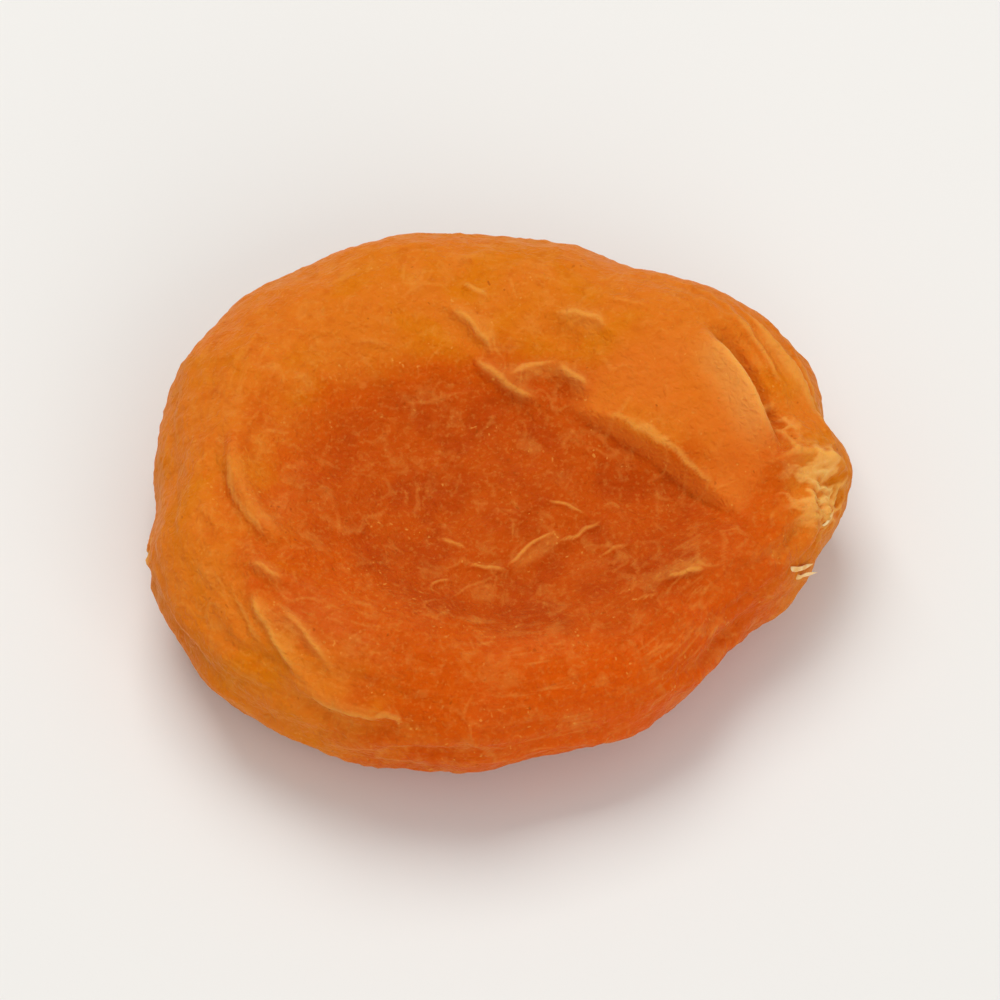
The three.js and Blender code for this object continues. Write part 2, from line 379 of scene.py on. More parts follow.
class LatticeNoise:
    """Smooth noise in space from seeded slopes on a lattice, as whole arrays."""

    size: int = 256
    peak: float = 1.6
    layer_shift: float = 17.3

    def __init__(self, seed: int) -> None:
        """Draw the lattice's order and its slopes.

        Args:
            seed: fixes every draw.
        """
        draw = np.random.default_rng(seed)
        self.order = draw.permutation(self.size)
        slopes = draw.normal(size=(self.size, 3))
        self.slopes = slopes / np.linalg.norm(slopes, axis=1)[:, None]

    def value(self, points: Array) -> Array:
        """Return noise between about -1 and 1: slopes at the eight corners, blended by a quintic.

        Args:
            points: places as rows of three numbers, in lattice steps.

        Returns:
            One value for each place.
        """
        corner = np.floor(points).astype(int)
        inside = points - corner
        blend = inside**3 * (inside * (inside * 6.0 - 15.0) + 10.0)
        total = np.zeros(len(points))
        for step in np.ndindex(2, 2, 2):
            offset = np.array(step)
            at = (corner + offset) % self.size
            pair = self.order[(at[:, 1] + self.order[at[:, 2]]) % self.size]
            key = self.order[(at[:, 0] + pair) % self.size]
            slope = np.einsum("ij,ij->i", self.slopes[key], inside - offset)
            weight = np.prod(np.where(offset == 1, blend, 1.0 - blend), axis=1)
            total += weight * slope
        return total * self.peak

    def layered(self, points: Array, layers: int, keep: float = 0.5) -> Array:
        """Return a sum of noises, each twice as fine as the last and weaker.

        Args:
            points: places in steps of the coarsest layer.
            layers: how many noises are added.
            keep: each layer's strength as a share of the last.

        Returns:
            The sum, one value for each place.
        """
        total = np.zeros(len(points))
        for layer in range(layers):
            total += keep**layer * self.value(points * 2.0**layer + self.layer_shift * layer)
        return total


@dataclass
class SkinPlace:
    """Where each point of one face's net is: on the fruit, laid flat, and on the rolled rim."""

    face: Face
    bearing: Array
    reach: Array
    x: Array
    y: Array
    spread: Array
    spread_x: Array
    spread_y: Array
    inward: Array
    outward: Array
    round_share: Array
    face_share: Array
    seam_spread: Array

    def over_seam(self) -> Array:
        """Return how far above the seam each point is along the skin, less than 0 on the underside."""
        return self.face.value * (self.seam_spread - self.spread)

    def unrolled(self) -> tuple[Array, Array]:
        """Return where each point is with the skin laid flat: the underside runs on past the seam."""
        out = self.seam_spread - self.over_seam()
        return out * np.cos(self.bearing), out * np.sin(self.bearing)


@dataclass
class FruitForm:
    """The fruit's main form, in mm: the same sizes and formulas as the solid's."""

    edge_radii: tuple[float, ...] = (19.9, 19.9, 17.0, 17.5, 19.0, 20.5, 21.0, 21.6, 19.8, 18.1, 17.4, 17.0)
    seam_height: float = 5.6
    top_rise: float = 6.5
    under_drop: float = 5.55
    roll_breadth: float = 5.4
    roll_start: float = 0.66
    round_from: tuple[float, float] = (0.15, 0.6)
    face_fade: float = 0.55
    seam_fade: tuple[float, float] = (0.3, 0.9)
    seam_waves: tuple[tuple[int, float, float], ...] = ((2, 0.8, 0.3), (3, 0.0, 0.2))
    feet_count: int = 3
    feet_first: float = 100.0
    feet_swing: float = 0.42
    under_lump_share: float = 0.6
    edge_swells: tuple[Swell, ...] = (
        Swell(4, 6, 0.9),
        Swell(13, 3, -0.25),
        Swell(-23, 5, 0.25),
        Swell(-38, 4, -0.2),
    )
    crest_swells: tuple[Swell, ...] = (
        Swell(-4, 17, -2.1),
        Swell(24, 18, -0.7),
        Swell(275, 60, -1.6),
        Swell(110, 45, 0.25),
        Swell(190, 25, -0.3),
    )
    roll_swells: tuple[Swell, ...] = (
        Swell(0, 30, -0.9),
        Swell(270, 55, 1.5),
        Swell(130, 40, 0.5),
    )
    top_hollow: Hollow = Hollow((0.8, -2.2), (13.4, 9.4), -10, 1.5, 1.8, 2.0, (0.4, 1.35))
    under_hollow: Hollow = Hollow((-1.0, 0.5), (12.0, 9.4), 12, 0.7, 1.7, 1.9, (0.3, 1.4))
    lobe: Lobe = field(default_factory=Lobe)
    slit: Slit = field(default_factory=Slit)
    top_folds: tuple[Fold, ...] = (
        Fold((-14.4, -3.1), -65, 4.0, -1.0, 0.55, 0.9, 0.55, 0.35),
        Fold((-14.0, -8.8), -36, 1.5, 0.1, 0.28, 0.8, 0.5, 0.15),
        Fold((-13.5, -12.5), -60, 3.4, -0.3, 0.36, 0.9, 0.6, 0.2),
        Fold((-11.7, -13.0), -50, 2.4, 0.1, 0.26, 0.8, 0.6, 0.15),
        Fold((-9.6, -16.9), -17, 2.9, -0.5, 0.4, 0.9, 0.6, 0.2),
        Fold((-1.7, 8.4), -42, 2.3, 0.2, 0.34, 0.9, 0.5, 0.2),
        Fold((0.3, 5.4), -32, 2.5, -0.15, 0.36, 0.9, 0.5, 0.2),
        Fold((1.8, 5.9), 14, 1.6, 0.1, 0.22, 0.8, 0.5, 0.1),
        Fold((4.2, 5.2), -38, 1.5, 0.1, 0.3, 0.8, 0.5, 0.15),
        Fold((4.8, 8.6), -24, 1.9, 0.1, 0.34, 1.0, 0.55, 0.15),
        Fold((2.0, -5.2), 36, 2.2, -0.2, 0.16, 0.7, 0.6, 0.05),
        Fold((10.8, -7.4), 12, 2.4, 0.3, 0.2, 0.9, 0.7, 0.1),
        Fold((19.6, 0.2), 7, 3.8, 0.2, 0.6, 0.9, 0.7, 0.25),
        Fold((19.6, -3.4), -70, 2.2, 0.3, 0.4, 0.7, 0.6, 0.2),
        Fold((17.6, 6.8), -49, 3.6, 0.5, 0.3, 0.6, 0.8, 0.2),
    )
    under_folds: tuple[Fold, ...] = (
        Fold((-9.5, 4.5), 62, 5.6, 1.2, 0.55, 1.0, 0.6, 0.35),
        Fold((2.5, -6.8), 8, 6.2, -0.9, 0.55, 0.6, 1.0, 0.3),
        Fold((9.5, 2.6), 100, 4.6, -0.8, 0.5, 0.9, 0.6, 0.3),
        Fold((-1.5, 2.0), -24, 5.0, 0.8, 0.35, 0.8, 0.7, 0.2),
        Fold((-14.2, -7.5), 118, 3.6, 0.5, 0.35, 0.8, 0.6, 0.2),
    )
    flank_radius: float = 20.0
    flank_folds: tuple[Fold, ...] = (
        Fold((258, 1.4), 7, 5.2, 0.7, 0.34, 0.9, 0.55, 0.25),
        Fold((286, -1.2), -9, 5.6, 0.8, 0.4, 0.9, 0.55, 0.3),
        Fold((318, 0.6), -13, 4.4, -0.6, 0.38, 0.6, 0.9, 0.25),
        Fold((341, -1.8), 16, 3.6, 0.4, 0.34, 0.8, 0.5, 0.2),
        Fold((30, -0.8), -12, 4.6, 0.5, 0.38, 0.8, 0.55, 0.25),
        Fold((66, 1.0), 10, 5.0, -0.7, 0.36, 0.55, 0.9, 0.25),
        Fold((98, -1.4), -6, 6.0, 0.9, 0.42, 0.9, 0.55, 0.3),
        Fold((131, 1.2), 12, 4.8, 0.5, 0.34, 0.9, 0.5, 0.25),
        Fold((165, -0.6), -11, 5.2, -0.6, 0.4, 0.6, 0.9, 0.3),
        Fold((199, 0.9), 9, 4.8, 0.6, 0.36, 0.9, 0.55, 0.25),
        Fold((228, -1.3), -8, 5.4, 0.7, 0.4, 0.9, 0.55, 0.3),
    )
    flank_wrinkles: tuple[FlankWrinkles, ...] = (
        FlankWrinkles(3.3, 0.14, 1.4, 3, 2, 0.6),
        FlankWrinkles(2.3, 0.09, 1.1, 5, 3, 2.2),
    )
    lumps: tuple[Lump, ...] = (
        Lump((0.42, 0.25), 1.0, 0.11),
        Lump((-0.21, 0.47), 0.4, 0.11),
        Lump((0.71, -0.5), 0.0, 0.08),
        Lump((0.4, 1.05), 2.0, 0.06),
        Lump((-1.0, 0.55), 4.1, 0.05),
    )

    def edge_radius(self, bearing: Array) -> Array:
        """Work out the edge's radius: a cubic through four neighbouring radii, plus the swells.

        Args:
            bearing: the angle round the fruit, in radians.

        Returns:
            The radius at each bearing.
        """
        radii = np.array(self.edge_radii)
        place = (bearing % (2.0 * math.pi)) / (2.0 * math.pi) * len(radii)
        first = np.floor(place).astype(int)
        t = place - first
        a, b, c, d = (radii[(first + step) % len(radii)] for step in (-1, 0, 1, 2))
        bend = 2.0 * a - 5.0 * b + 4.0 * c - d
        twist = 3.0 * (b - c) + d - a
        radius = b + 0.5 * t * (c - a + t * (bend + t * twist))
        return radius + sum(swell.height(bearing) for swell in self.edge_swells)

    def place(self, bearing: Array, reach: Array, face: Face) -> SkinPlace:
        """Work out where a net of bearings and reaches lies before anything is raised.

        The flat part runs out in proportion to the reach. The rolled rim is a quarter
        of an ellipse: outward goes with the sine of its angle, inward with the cosine.

        Args:
            bearing: the angle round the fruit, in radians.
            reach: 0 in the middle of the face and 1 at the seam.
            face: which face it is.

        Returns:
            The places of the net.
        """
        radius = self.edge_radius(bearing)
        breadth = self.roll_breadth + sum(swell.height(bearing) for swell in self.roll_swells)
        roll = np.clip((reach - self.roll_start) / (1.0 - self.roll_start), 0.0, 1.0) * math.pi / 2.0
        flat = (radius - breadth) * np.minimum(reach / self.roll_start, 1.0)
        from_middle = flat + breadth * np.sin(roll)
        spread = flat + 0.5 * (breadth + self.top_rise) * roll
        return SkinPlace(
            face=face,
            bearing=bearing,
            reach=reach,
            x=from_middle * np.cos(bearing),
            y=from_middle * np.sin(bearing),
            spread=spread,
            spread_x=spread * np.cos(bearing),
            spread_y=spread * np.sin(bearing),
            inward=np.cos(roll),
            outward=np.sin(roll),
            round_share=smooth_step(*self.round_from, reach),
            face_share=smooth_step(0.0, self.face_fade, np.cos(roll)),
            seam_spread=radius - breadth + 0.25 * math.pi * (breadth + self.top_rise),
        )

    def base_height(self, at: SkinPlace) -> Array:
        """Work out the height before anything is raised: the seam, the rim's rise and the hollow.

        Args:
            at: the places of one face's net.

        Returns:
            The height of each place.
        """
        wander = sum(high * np.sin(turns * at.bearing + phase) for turns, phase, high in self.seam_waves)
        seam = self.seam_height + at.round_share * wander
        if at.face is Face.TOP:
            crest = sum(swell.height(at.bearing) for swell in self.crest_swells)
            rise = self.top_rise + at.round_share * crest
            return seam + rise * at.inward - at.face_share * self.top_hollow.depth(at.x, at.y)
        feet = self.feet_swing * np.cos(self.feet_count * (at.bearing - math.radians(self.feet_first)))
        drop = (self.under_drop + at.round_share * feet) * at.inward
        return seam - drop + at.face_share * self.under_hollow.depth(at.x, at.y)

    def by_flank(self, fold: Fold, at: SkinPlace) -> tuple[Array, Array]:
        """Return where points are from a flank fold's middle: the way round, and over the seam."""
        gap = (at.bearing - math.radians(fold.at[0]) + math.pi) % (2.0 * math.pi) - math.pi
        return self.flank_radius * gap + fold.at[0], at.over_seam()

    def flank(self, at: SkinPlace) -> Array:
        """Work out the folds and wrinkles along the flanks, which run on over the seam.

        Args:
            at: the places of one face's net.

        Returns:
            The height of each place over the main form.
        """
        folds = sum(fold.height(*self.by_flank(fold, at)) for fold in self.flank_folds)
        wrinkles = sum(wrinkle.height(at.bearing, at.over_seam()) for wrinkle in self.flank_wrinkles)
        return folds + smooth_step(*self.seam_fade, at.outward) * wrinkles

    def raised(self, at: SkinPlace) -> Array:
        """Work out how far the skin is raised square to itself: lobe, slit, folds, lumps and flanks.

        Args:
            at: the places of one face's net.

        Returns:
            The height of each place over the main form.
        """
        lumps = sum(lump.height(at.x, at.y) for lump in self.lumps)
        if at.face is Face.TOP:
            relief = self.lobe.height(at.spread_x, at.spread_y) + self.slit.height(at.spread_x, at.spread_y)
            relief += sum(fold.height(at.spread_x, at.spread_y) for fold in self.top_folds)
            return at.face_share * relief + lumps + self.flank(at)
        relief = sum(fold.height(at.spread_x, at.spread_y) for fold in self.under_folds)
        share = 1.0 + (self.under_lump_share - 1.0) * at.face_share
        return at.face_share * relief + share * lumps + self.flank(at)


@dataclass
class FineSkin:
    """The small relief of dried skin, in mm, which is too fine for the solid.

    A step is how far apart a noise's lumps are, and an edge is where a share starts and is full.
    """

    seed: int = 11
    warp: float = 0.9
    warp_step: float = 3.2
    warp_apart: float = 31.0
    crinkle: float = 0.2
    crinkle_step: float = 1.1
    crinkle_apart: float = 9.7
    rim_high: float = 0.13
    rim_step: float = 0.95
    rim_stretch: float = 0.26
    rim_radius: float = 14.0
    rim_from: tuple[float, float] = (0.45, 0.8)
    patch_step: float = 7.0
    patch_edge: tuple[float, float] = (-0.35, 0.45)
    thread_high: float = 0.07
    thread_step: float = 2.0
    thread_breadth: float = 0.1
    thread_cells: float = 1.1
    broken_step: float = 2.6
    broken_edge: tuple[float, float] = (0.0, 0.5)
    grain_high: float = 0.07
    grain_step: float = 0.75
    dent_high: float = 0.13
    dent_step: float = 3.6
    weak_layer: float = 0.35
    line_full: float = 0.15
    torn_high: float = 0.62
    torn_step: float = 1.15
    torn_stretch: float = 0.5
    torn_warp: float = 0.5
    torn_level: float = 0.3
    torn_shown: tuple[float, float] = (-0.05, 0.5)
    torn_patches: tuple[TornPatch, ...] = (
        TornPatch((20.6, -1.0), (3.2, 2.6), 1.0),
        TornPatch((17.4, 2.9), (1.3, 0.9), 0.45),
        TornPatch((-23.7, -5.3), (0.7, 1.3), 1.0),
    )
    creases: tuple[Fold, ...] = (
        Fold((-14.9, -3.6), -65, 3.4, -0.9, 0.14, 0.35, 0.2, 0.08),
        Fold((-16.2, -3.0), -72, 2.6, -0.6, 0.08, 0.3, 0.2, 0.05),
        Fold((-1.8, 8.3), -46, 1.9, 0.2, 0.2, 0.35, 0.18, 0.1),
        Fold((0.2, 5.4), -32, 2.3, -0.2, 0.22, 0.35, 0.18, 0.12),
        Fold((1.8, 6.0), 14, 1.3, 0.15, 0.16, 0.3, 0.18, 0.06),
        Fold((4.2, 5.2), -38, 1.2, 0.1, 0.18, 0.3, 0.18, 0.08),
        Fold((-1.7, 10.8), -30, 0.9, 0.1, 0.16, 0.3, 0.18, 0.06),
        Fold((4.8, 8.7), -24, 1.7, 0.15, 0.2, 0.4, 0.2, 0.1),
        Fold((7.4, 9.6), -20, 1.5, 0.1, 0.1, 0.3, 0.2, 0.05),
        Fold((3.9, -2.5), -18, 1.3, 0.1, 0.14, 0.2, 0.16, 0.04),
        Fold((-2.9, -5.0), -28, 1.0, 0.1, 0.12, 0.2, 0.16, 0.04),
        Fold((-0.9, -6.7), 0, 1.2, 0.1, 0.14, 0.2, 0.16, 0.04),
        Fold((1.9, -5.2), 38, 1.9, 0.25, 0.15, 0.2, 0.16, 0.04),
        Fold((4.7, -3.9), 31, 1.7, -0.1, 0.13, 0.2, 0.16, 0.04),
        Fold((6.6, -5.4), 28, 1.2, 0.1, 0.11, 0.2, 0.16, 0.04),
        Fold((-3.7, -8.0), 32, 0.9, 0.1, 0.12, 0.2, 0.16, 0.04),
        Fold((11.1, -7.5), 9, 1.3, 0.1, 0.15, 0.25, 0.18, 0.05),
        Fold((8.6, -9.0), 20, 1.1, 0.1, 0.11, 0.2, 0.16, 0.04),
        Fold((-9.6, -17.0), -17, 2.8, -0.5, 0.2, 0.35, 0.2, 0.1),
        Fold((-6.8, -17.9), -26, 0.8, 0.0, 0.16, 0.35, 0.2, 0.06),
        Fold((-13.5, -12.5), -62, 3.2, -0.4, 0.18, 0.35, 0.2, 0.1),
        Fold((-11.7, -13.0), -50, 2.2, 0.2, 0.14, 0.3, 0.2, 0.06),
        Fold((-15.4, -11.4), -66, 2.4, -0.2, 0.12, 0.3, 0.2, 0.06),
        Fold((-14.0, -8.8), -36, 1.1, 0.1, 0.14, 0.3, 0.2, 0.06),
        Fold((-7.6, 7.2), 0, 1.3, 0.1, 0.1, 0.3, 0.2, 0.05),
        Fold((-10.7, 7.8), -5, 0.7, 0.0, 0.08, 0.3, 0.2, 0.03),
        Fold((-6.0, 13.8), 12, 2.6, 0.3, 0.09, 0.3, 0.2, 0.05),
        Fold((-15.6, 6.0), 62, 2.4, 0.3, 0.08, 0.3, 0.2, 0.05),
        Fold((9.5, 0.7), -34, 4.3, 0.3, 0.17, 0.45, 0.2, 0.0),
        Fold((14.3, 4.4), -58, 3.1, 0.5, 0.2, 0.22, 0.5, 0.0),
        Fold((15.9, 7.4), -50, 2.6, 0.4, 0.2, 0.32, 0.22, 0.1),
        Fold((16.9, 7.9), -50, 3.2, 0.4, 0.24, 0.32, 0.22, 0.14),
        Fold((18.3, 6.6), -54, 3.4, 0.4, 0.26, 0.32, 0.22, 0.16),
        Fold((19.5, 5.6), -58, 3.0, 0.3, 0.22, 0.32, 0.22, 0.14),
        Fold((20.6, 6.8), -56, 2.6, 0.3, 0.2, 0.32, 0.22, 0.12),
        Fold((13.2, 10.4), -36, 2.6, 0.3, 0.1, 0.3, 0.22, 0.05),
        Fold((19.6, 0.4), 5, 3.0, 0.2, 0.22, 0.35, 0.28, 0.12),
        Fold((17.3, 1.6), -64, 1.4, 0.1, 0.22, 0.35, 0.22, 0.12),
        Fold((16.4, 3.9), 18, 0.9, 0.1, 0.34, 0.32, 0.2, 0.08),
        Fold((21.4, -3.0), -75, 1.8, 0.2, 0.2, 0.3, 0.22, 0.1),
    )

    def noise(self, draw: int) -> LatticeNoise:
        """Return the noise of one of the skin's draws."""
        return LatticeNoise(self.seed + draw)

    def rim_wrinkles(self, at: SkinPlace, flat: Array, shift: Array) -> Array:
        """Work out the rim's wrinkles: the folded size of a noise stretched along it, in patches.

        Args:
            at: the places of the face's net.
            flat: the same places in space, before anything is raised.
            shift: how the slow noise moves each place.

        Returns:
            The height of each place over the main form.
        """
        ring = self.rim_radius * self.rim_stretch / self.rim_step
        over = (at.over_seam() + shift[:, 0]) / self.rim_step
        places = np.stack([ring * np.cos(at.bearing), ring * np.sin(at.bearing), over], axis=1)
        wrinkle = 0.5 - np.abs(self.noise(1).layered(places, 2))
        patches = smooth_step(*self.patch_edge, self.noise(2).value(flat / self.patch_step))
        return self.rim_high * smooth_step(*self.rim_from, at.reach) * patches * wrinkle

    def threads(self, moved: Array) -> Array:
        """Work out thin broken threads where a noise passes zero, no narrower than a cell of the square net.

        Args:
            moved: the places of the face's net, moved by the slow noise.

        Returns:
            How strongly a thread shows at each place, from 0 to 1.
        """
        noise = self.noise(3).layered(moved / self.thread_step, 2, self.weak_layer)
        steps = np.hypot(*np.gradient(noise.reshape(math.isqrt(len(noise)), -1))).ravel()
        broken = smooth_step(*self.broken_edge, self.noise(4).value(moved / self.broken_step))
        return bell(noise, np.maximum(self.thread_breadth, self.thread_cells * steps)) * broken

    def creased(self, at: SkinPlace, flat: Array) -> tuple[Array, Array]:
        """Work out the creases of the upper face: folds on places that a small noise moves.

        Args:
            at: the places of the face's net.
            flat: the same places in space, before anything is raised.

        Returns:
            The height of each place over the main form, and how strongly the creases show, from 0 to 1: where
            pale skin and a painted highlight are laid along them.
        """
        small = self.noise(8)
        x = at.spread_x + self.crinkle * small.value(flat / self.crinkle_step)
        y = at.spread_y + self.crinkle * small.value(flat / self.crinkle_step + self.crinkle_apart)
        # Where the pale crease lines and their painted highlight are laid.
        lines = sum(crease.crest(x, y) * min(crease.high / self.line_full, 1.0) for crease in self.creases)
        return sum(crease.height(x, y) for crease in self.creases), np.clip(lines, 0.0, 1.0)

    def torn_skin(self, at: SkinPlace, flat: Array, shift: Array) -> tuple[Array, Array]:
        """Work out the torn skin: the folded size of a noise stretched along +X, in the torn patches.

        Args:
            at: the places of the face's net.
            flat: the same places in space, before anything is raised.
            shift: how the slow noise moves each place.

        Returns:
            The height of each place over the main form, and how strongly its crests show, from 0 to 1: pale
            torn skin, brightest on the highest crests as a painted highlight.
        """
        stretched = flat / self.torn_step * np.array([self.torn_stretch, 1.0, 1.0]) + self.torn_warp * shift
        ragged = 0.5 - np.abs(self.noise(7).layered(stretched, 3))
        torn = np.clip(sum(patch.share(*at.unrolled()) for patch in self.torn_patches), 0.0, 1.0)
        height = self.torn_high * torn * (ragged - self.torn_level)
        return height, torn * smooth_step(*self.torn_shown, ragged)

    def height(self, at: SkinPlace, base: Array) -> tuple[Array, dict[str, Array]]:
        """Work out the fine relief of one face: wrinkles, threads, grain, dents, creases and torn skin.

        Threads, grain and dents are worked out on places that a slow noise has moved.

        Args:
            at: the places of the face's net.
            base: the heights of those places before anything is raised.

        Returns:
            The relief in mm, and how strongly threads, lines and torn crests show, from 0 to 1; the lines and
            torn crests are where pale skin and a painted highlight are laid.
        """
        flat = np.stack([at.x, at.y, base], axis=1)
        slow = self.noise(0)
        shift = np.stack([slow.value(flat / self.warp_step + self.warp_apart * k) for k in range(3)], axis=1)
        moved = flat + self.warp * shift
        threads = self.threads(moved)
        grain = self.noise(5).layered(moved / self.grain_step, 2)
        dents = self.noise(6).layered(moved / self.dent_step, 2, self.weak_layer)
        relief = self.rim_wrinkles(at, flat, shift) + self.thread_high * threads
        relief += self.grain_high * grain + self.dent_high * dents
        lines = np.zeros_like(relief)
        if at.face is Face.TOP:
            creased, lines = self.creased(at, flat)
            relief += creased
        ragged, torn = self.torn_skin(at, flat, shift)
        return relief + ragged, {"thread": threads, "line": lines, "torn": torn}


@dataclass(frozen=True)
class DiscNet:
    """Square nets laid over the two round faces, the upper twice as fine, which meet at the seam."""

    under_cells: int = 140
    finer: int = 2

    def cells(self, face: Face) -> int:
        """Return how many cells one face's net has from side to side."""
        return self.under_cells * (self.finer if face is Face.TOP else 1)

    def places(self, face: Face) -> tuple[Array, Array]:
        """Work out the bearing and reach of one face's net: squares become rings of equal reach.

        Args:
            face: which face it is.

        Returns:
            The bearing of each point in radians, and its reach from 0 to 1.
        """
        line = np.linspace(-1.0, 1.0, self.cells(face) + 1)
        a, b = np.meshgrid(line, line, indexing="ij")
        wide = np.abs(a) > np.abs(b)
        longer = np.where(wide, a, b)
        shorter = np.where(wide, b, a)
        lean = math.pi / 4.0 * shorter / np.where(longer == 0.0, 1.0, longer)
        bearing = np.where(wide, lean, math.pi / 2.0 - lean) + np.where(longer < 0.0, math.pi, 0.0)
        return bearing.ravel(), np.abs(longer).ravel()

    def under_inside(self) -> Array:
        """Tell which points of the lower net lie inside the seam.

        Returns:
            True for each point inside the seam and False for each point on it.
        """
        inside = np.zeros((self.under_cells + 1, self.under_cells + 1), dtype=bool)
        inside[1:-1, 1:-1] = True
        return inside.ravel()

    def facets(self) -> tuple[Array, Array]:
        """Join the points of both nets into facets that face outwards.

        The upper net's points are numbered first, then the lower net's inside the seam.
        A lower cell that touches the seam also takes the upper net's point halfway
        along its edge, so it has five corners, or six at a corner of the net.

        Returns:
            The corners of all facets in a row, and how many corners each facet has.
        """
        side = self.cells(Face.TOP) + 1
        top = np.arange(side * side).reshape(side, side)
        upper = np.stack([top[:-1, :-1], top[1:, :-1], top[1:, 1:], top[:-1, 1:]], axis=-1).reshape(-1, 4)
        lower = top[::self.finer, ::self.finer].copy()
        inside = self.under_inside().reshape(lower.shape)
        lower[inside] = side * side + np.arange(np.count_nonzero(inside))
        none = np.full((self.under_cells, self.under_cells), -1)
        near, right, far, left = none.copy(), none.copy(), none.copy(), none.copy()
        near[:, 0] = top[1::self.finer, 0]
        right[-1, :] = top[-1, 1::self.finer]
        far[:, -1] = top[1::self.finer, -1]
        left[0, :] = top[0, 1::self.finer]
        slots = [lower[:-1, :-1], near, lower[1:, :-1], right, lower[1:, 1:], far, lower[:-1, 1:], left]
        under = np.stack(slots, axis=-1).reshape(-1, len(slots))[:, ::-1]
        kept = under >= 0
        corners = np.concatenate([upper.ravel(), under[kept]])
        counts = np.concatenate([np.full(len(upper), 4), kept.sum(axis=1)])
        return corners, counts


@dataclass(frozen=True)
class Shred:
    """One loose shred of skin: its root on the spread skin, its heading in degrees, and its sizes in mm.

    From the share risen of its length on, it is over the skin by the size over.
    """

    root: tuple[float, float]
    heading: float
    length: float
    bend: float
    lift: float
    wide: float
    thick: float
    over: float = 0.12
    risen: float = 0.35

    def path(self, share: Array, sunk: float) -> tuple[Array, Array, Array]:
        """Return the shred's line on the spread skin, and its height over it.

        It runs ahead by its length and turns aside with the square of the way along.
        It comes up from its sunk root and rises to its lift at the tip.

        Args:
            share: how far along each place is, from 0 to 1.
            sunk: how deep its root is in the skin.

        Returns:
            The places along X and along Y, and the heights.
        """
        angle = math.radians(self.heading)
        ahead = self.length * share
        aside = self.bend * share**2
        x = self.root[0] + ahead * math.cos(angle) - aside * math.sin(angle)
        y = self.root[1] + ahead * math.sin(angle) + aside * math.cos(angle)
        rise = (sunk + self.over) * smooth_step(0.0, self.risen, share)
        return x, y, rise - sunk + self.lift * share**2


@dataclass
class TornShreds:
    """The loose pale shreds where the skin is torn: flat tapered strips in one mesh.

    Shares of a strip's own breadth: tip at its two ends, and full, with some waver, in its middle.
    """

    name: str = "torn_shreds"
    steps: int = 22
    sides: int = 10
    sunk: float = 0.22
    tip: float = 0.06
    full: float = 0.85
    waver: float = 0.2
    waver_turns: float = 9.0
    shreds: tuple[Shred, ...] = (
        Shred((19.1, -6.5), 0, 2.8, 1.0, 0.25, 0.4, 0.2),
        Shred((20.6, -6.9), 26, 2.0, -0.3, 0.8, 0.46, 0.24),
        Shred((21.2, -3.4), 58, 1.4, 0.3, 0.15, 0.36, 0.18),
    )

    def strip(self, shred: Shred, fruit: "Apricot") -> Array:
        """Work out one shred's points: flat ellipses square to its line, thin at both ends.

        Args:
            shred: the shred's sizes.
            fruit: the fruit that it lies on.

        Returns:
            Rings of points from root to tip, one row for each point, in mm.
        """
        share = np.linspace(0.0, 1.0, self.steps + 1)
        x, y, above = shred.path(share, self.sunk)
        line = fruit.skin_points(x, y, above)
        normal = fruit.skin_points(x, y, above + 1.0) - line
        along = np.gradient(line, axis=0)
        across = np.cross(normal, along)
        across /= np.linalg.norm(across, axis=1)[:, None]
        full = self.full + self.waver * np.sin(self.waver_turns * share + shred.heading)
        taper = self.tip + 4.0 * share * (1.0 - share) * full
        turn = np.arange(self.sides) * 2.0 * math.pi / self.sides
        side = (0.5 * shred.wide * taper)[:, None, None] * np.cos(turn)[None, :, None] * across[:, None, :]
        rise = (0.5 * shred.thick * taper)[:, None, None] * np.sin(turn)[None, :, None] * normal[:, None, :]
        return (line[:, None, :] + side + rise).reshape(-1, 3)

    def build(self, fruit: "Apricot", shift: Array) -> bpy.types.Object:
        """Build all shreds, each closed by a flat facet at its root and at its tip.

        Args:
            fruit: the fruit that they lie on.
            shift: how far the fruit's points were moved to stand in the solid's box, in mm.

        Returns:
            The shreds as one object, smooth shaded.
        """
        count = (self.steps + 1) * self.sides
        turn = np.arange(self.sides)
        low = np.arange(self.steps)[:, None] * self.sides + turn
        high = np.arange(self.steps)[:, None] * self.sides + np.roll(turn, -1)
        walls = np.stack([low, high, high + self.sides, low + self.sides], axis=-1).reshape(-1)
        ends = np.concatenate([turn[::-1], count - self.sides + turn])
        corners = np.concatenate([walls, ends])
        counts = np.concatenate([np.full(self.steps * self.sides, 4), [self.sides, self.sides]])
        strips = np.concatenate([self.strip(shred, fruit) for shred in self.shreds]) + shift
        starts = np.arange(len(self.shreds)) * count
        all_corners = (corners[None, :] + starts[:, None]).ravel()
        return mesh_object(self.name, strips * MM, all_corners, np.tile(counts, len(self.shreds)))


@dataclass(frozen=True)
class FaceShade:
    """Where a face's colours lie, in half-breadths of its hollow: the deep floor's edge and the rim's."""

    sunken: tuple[float, float]
    golden: tuple[float, float]


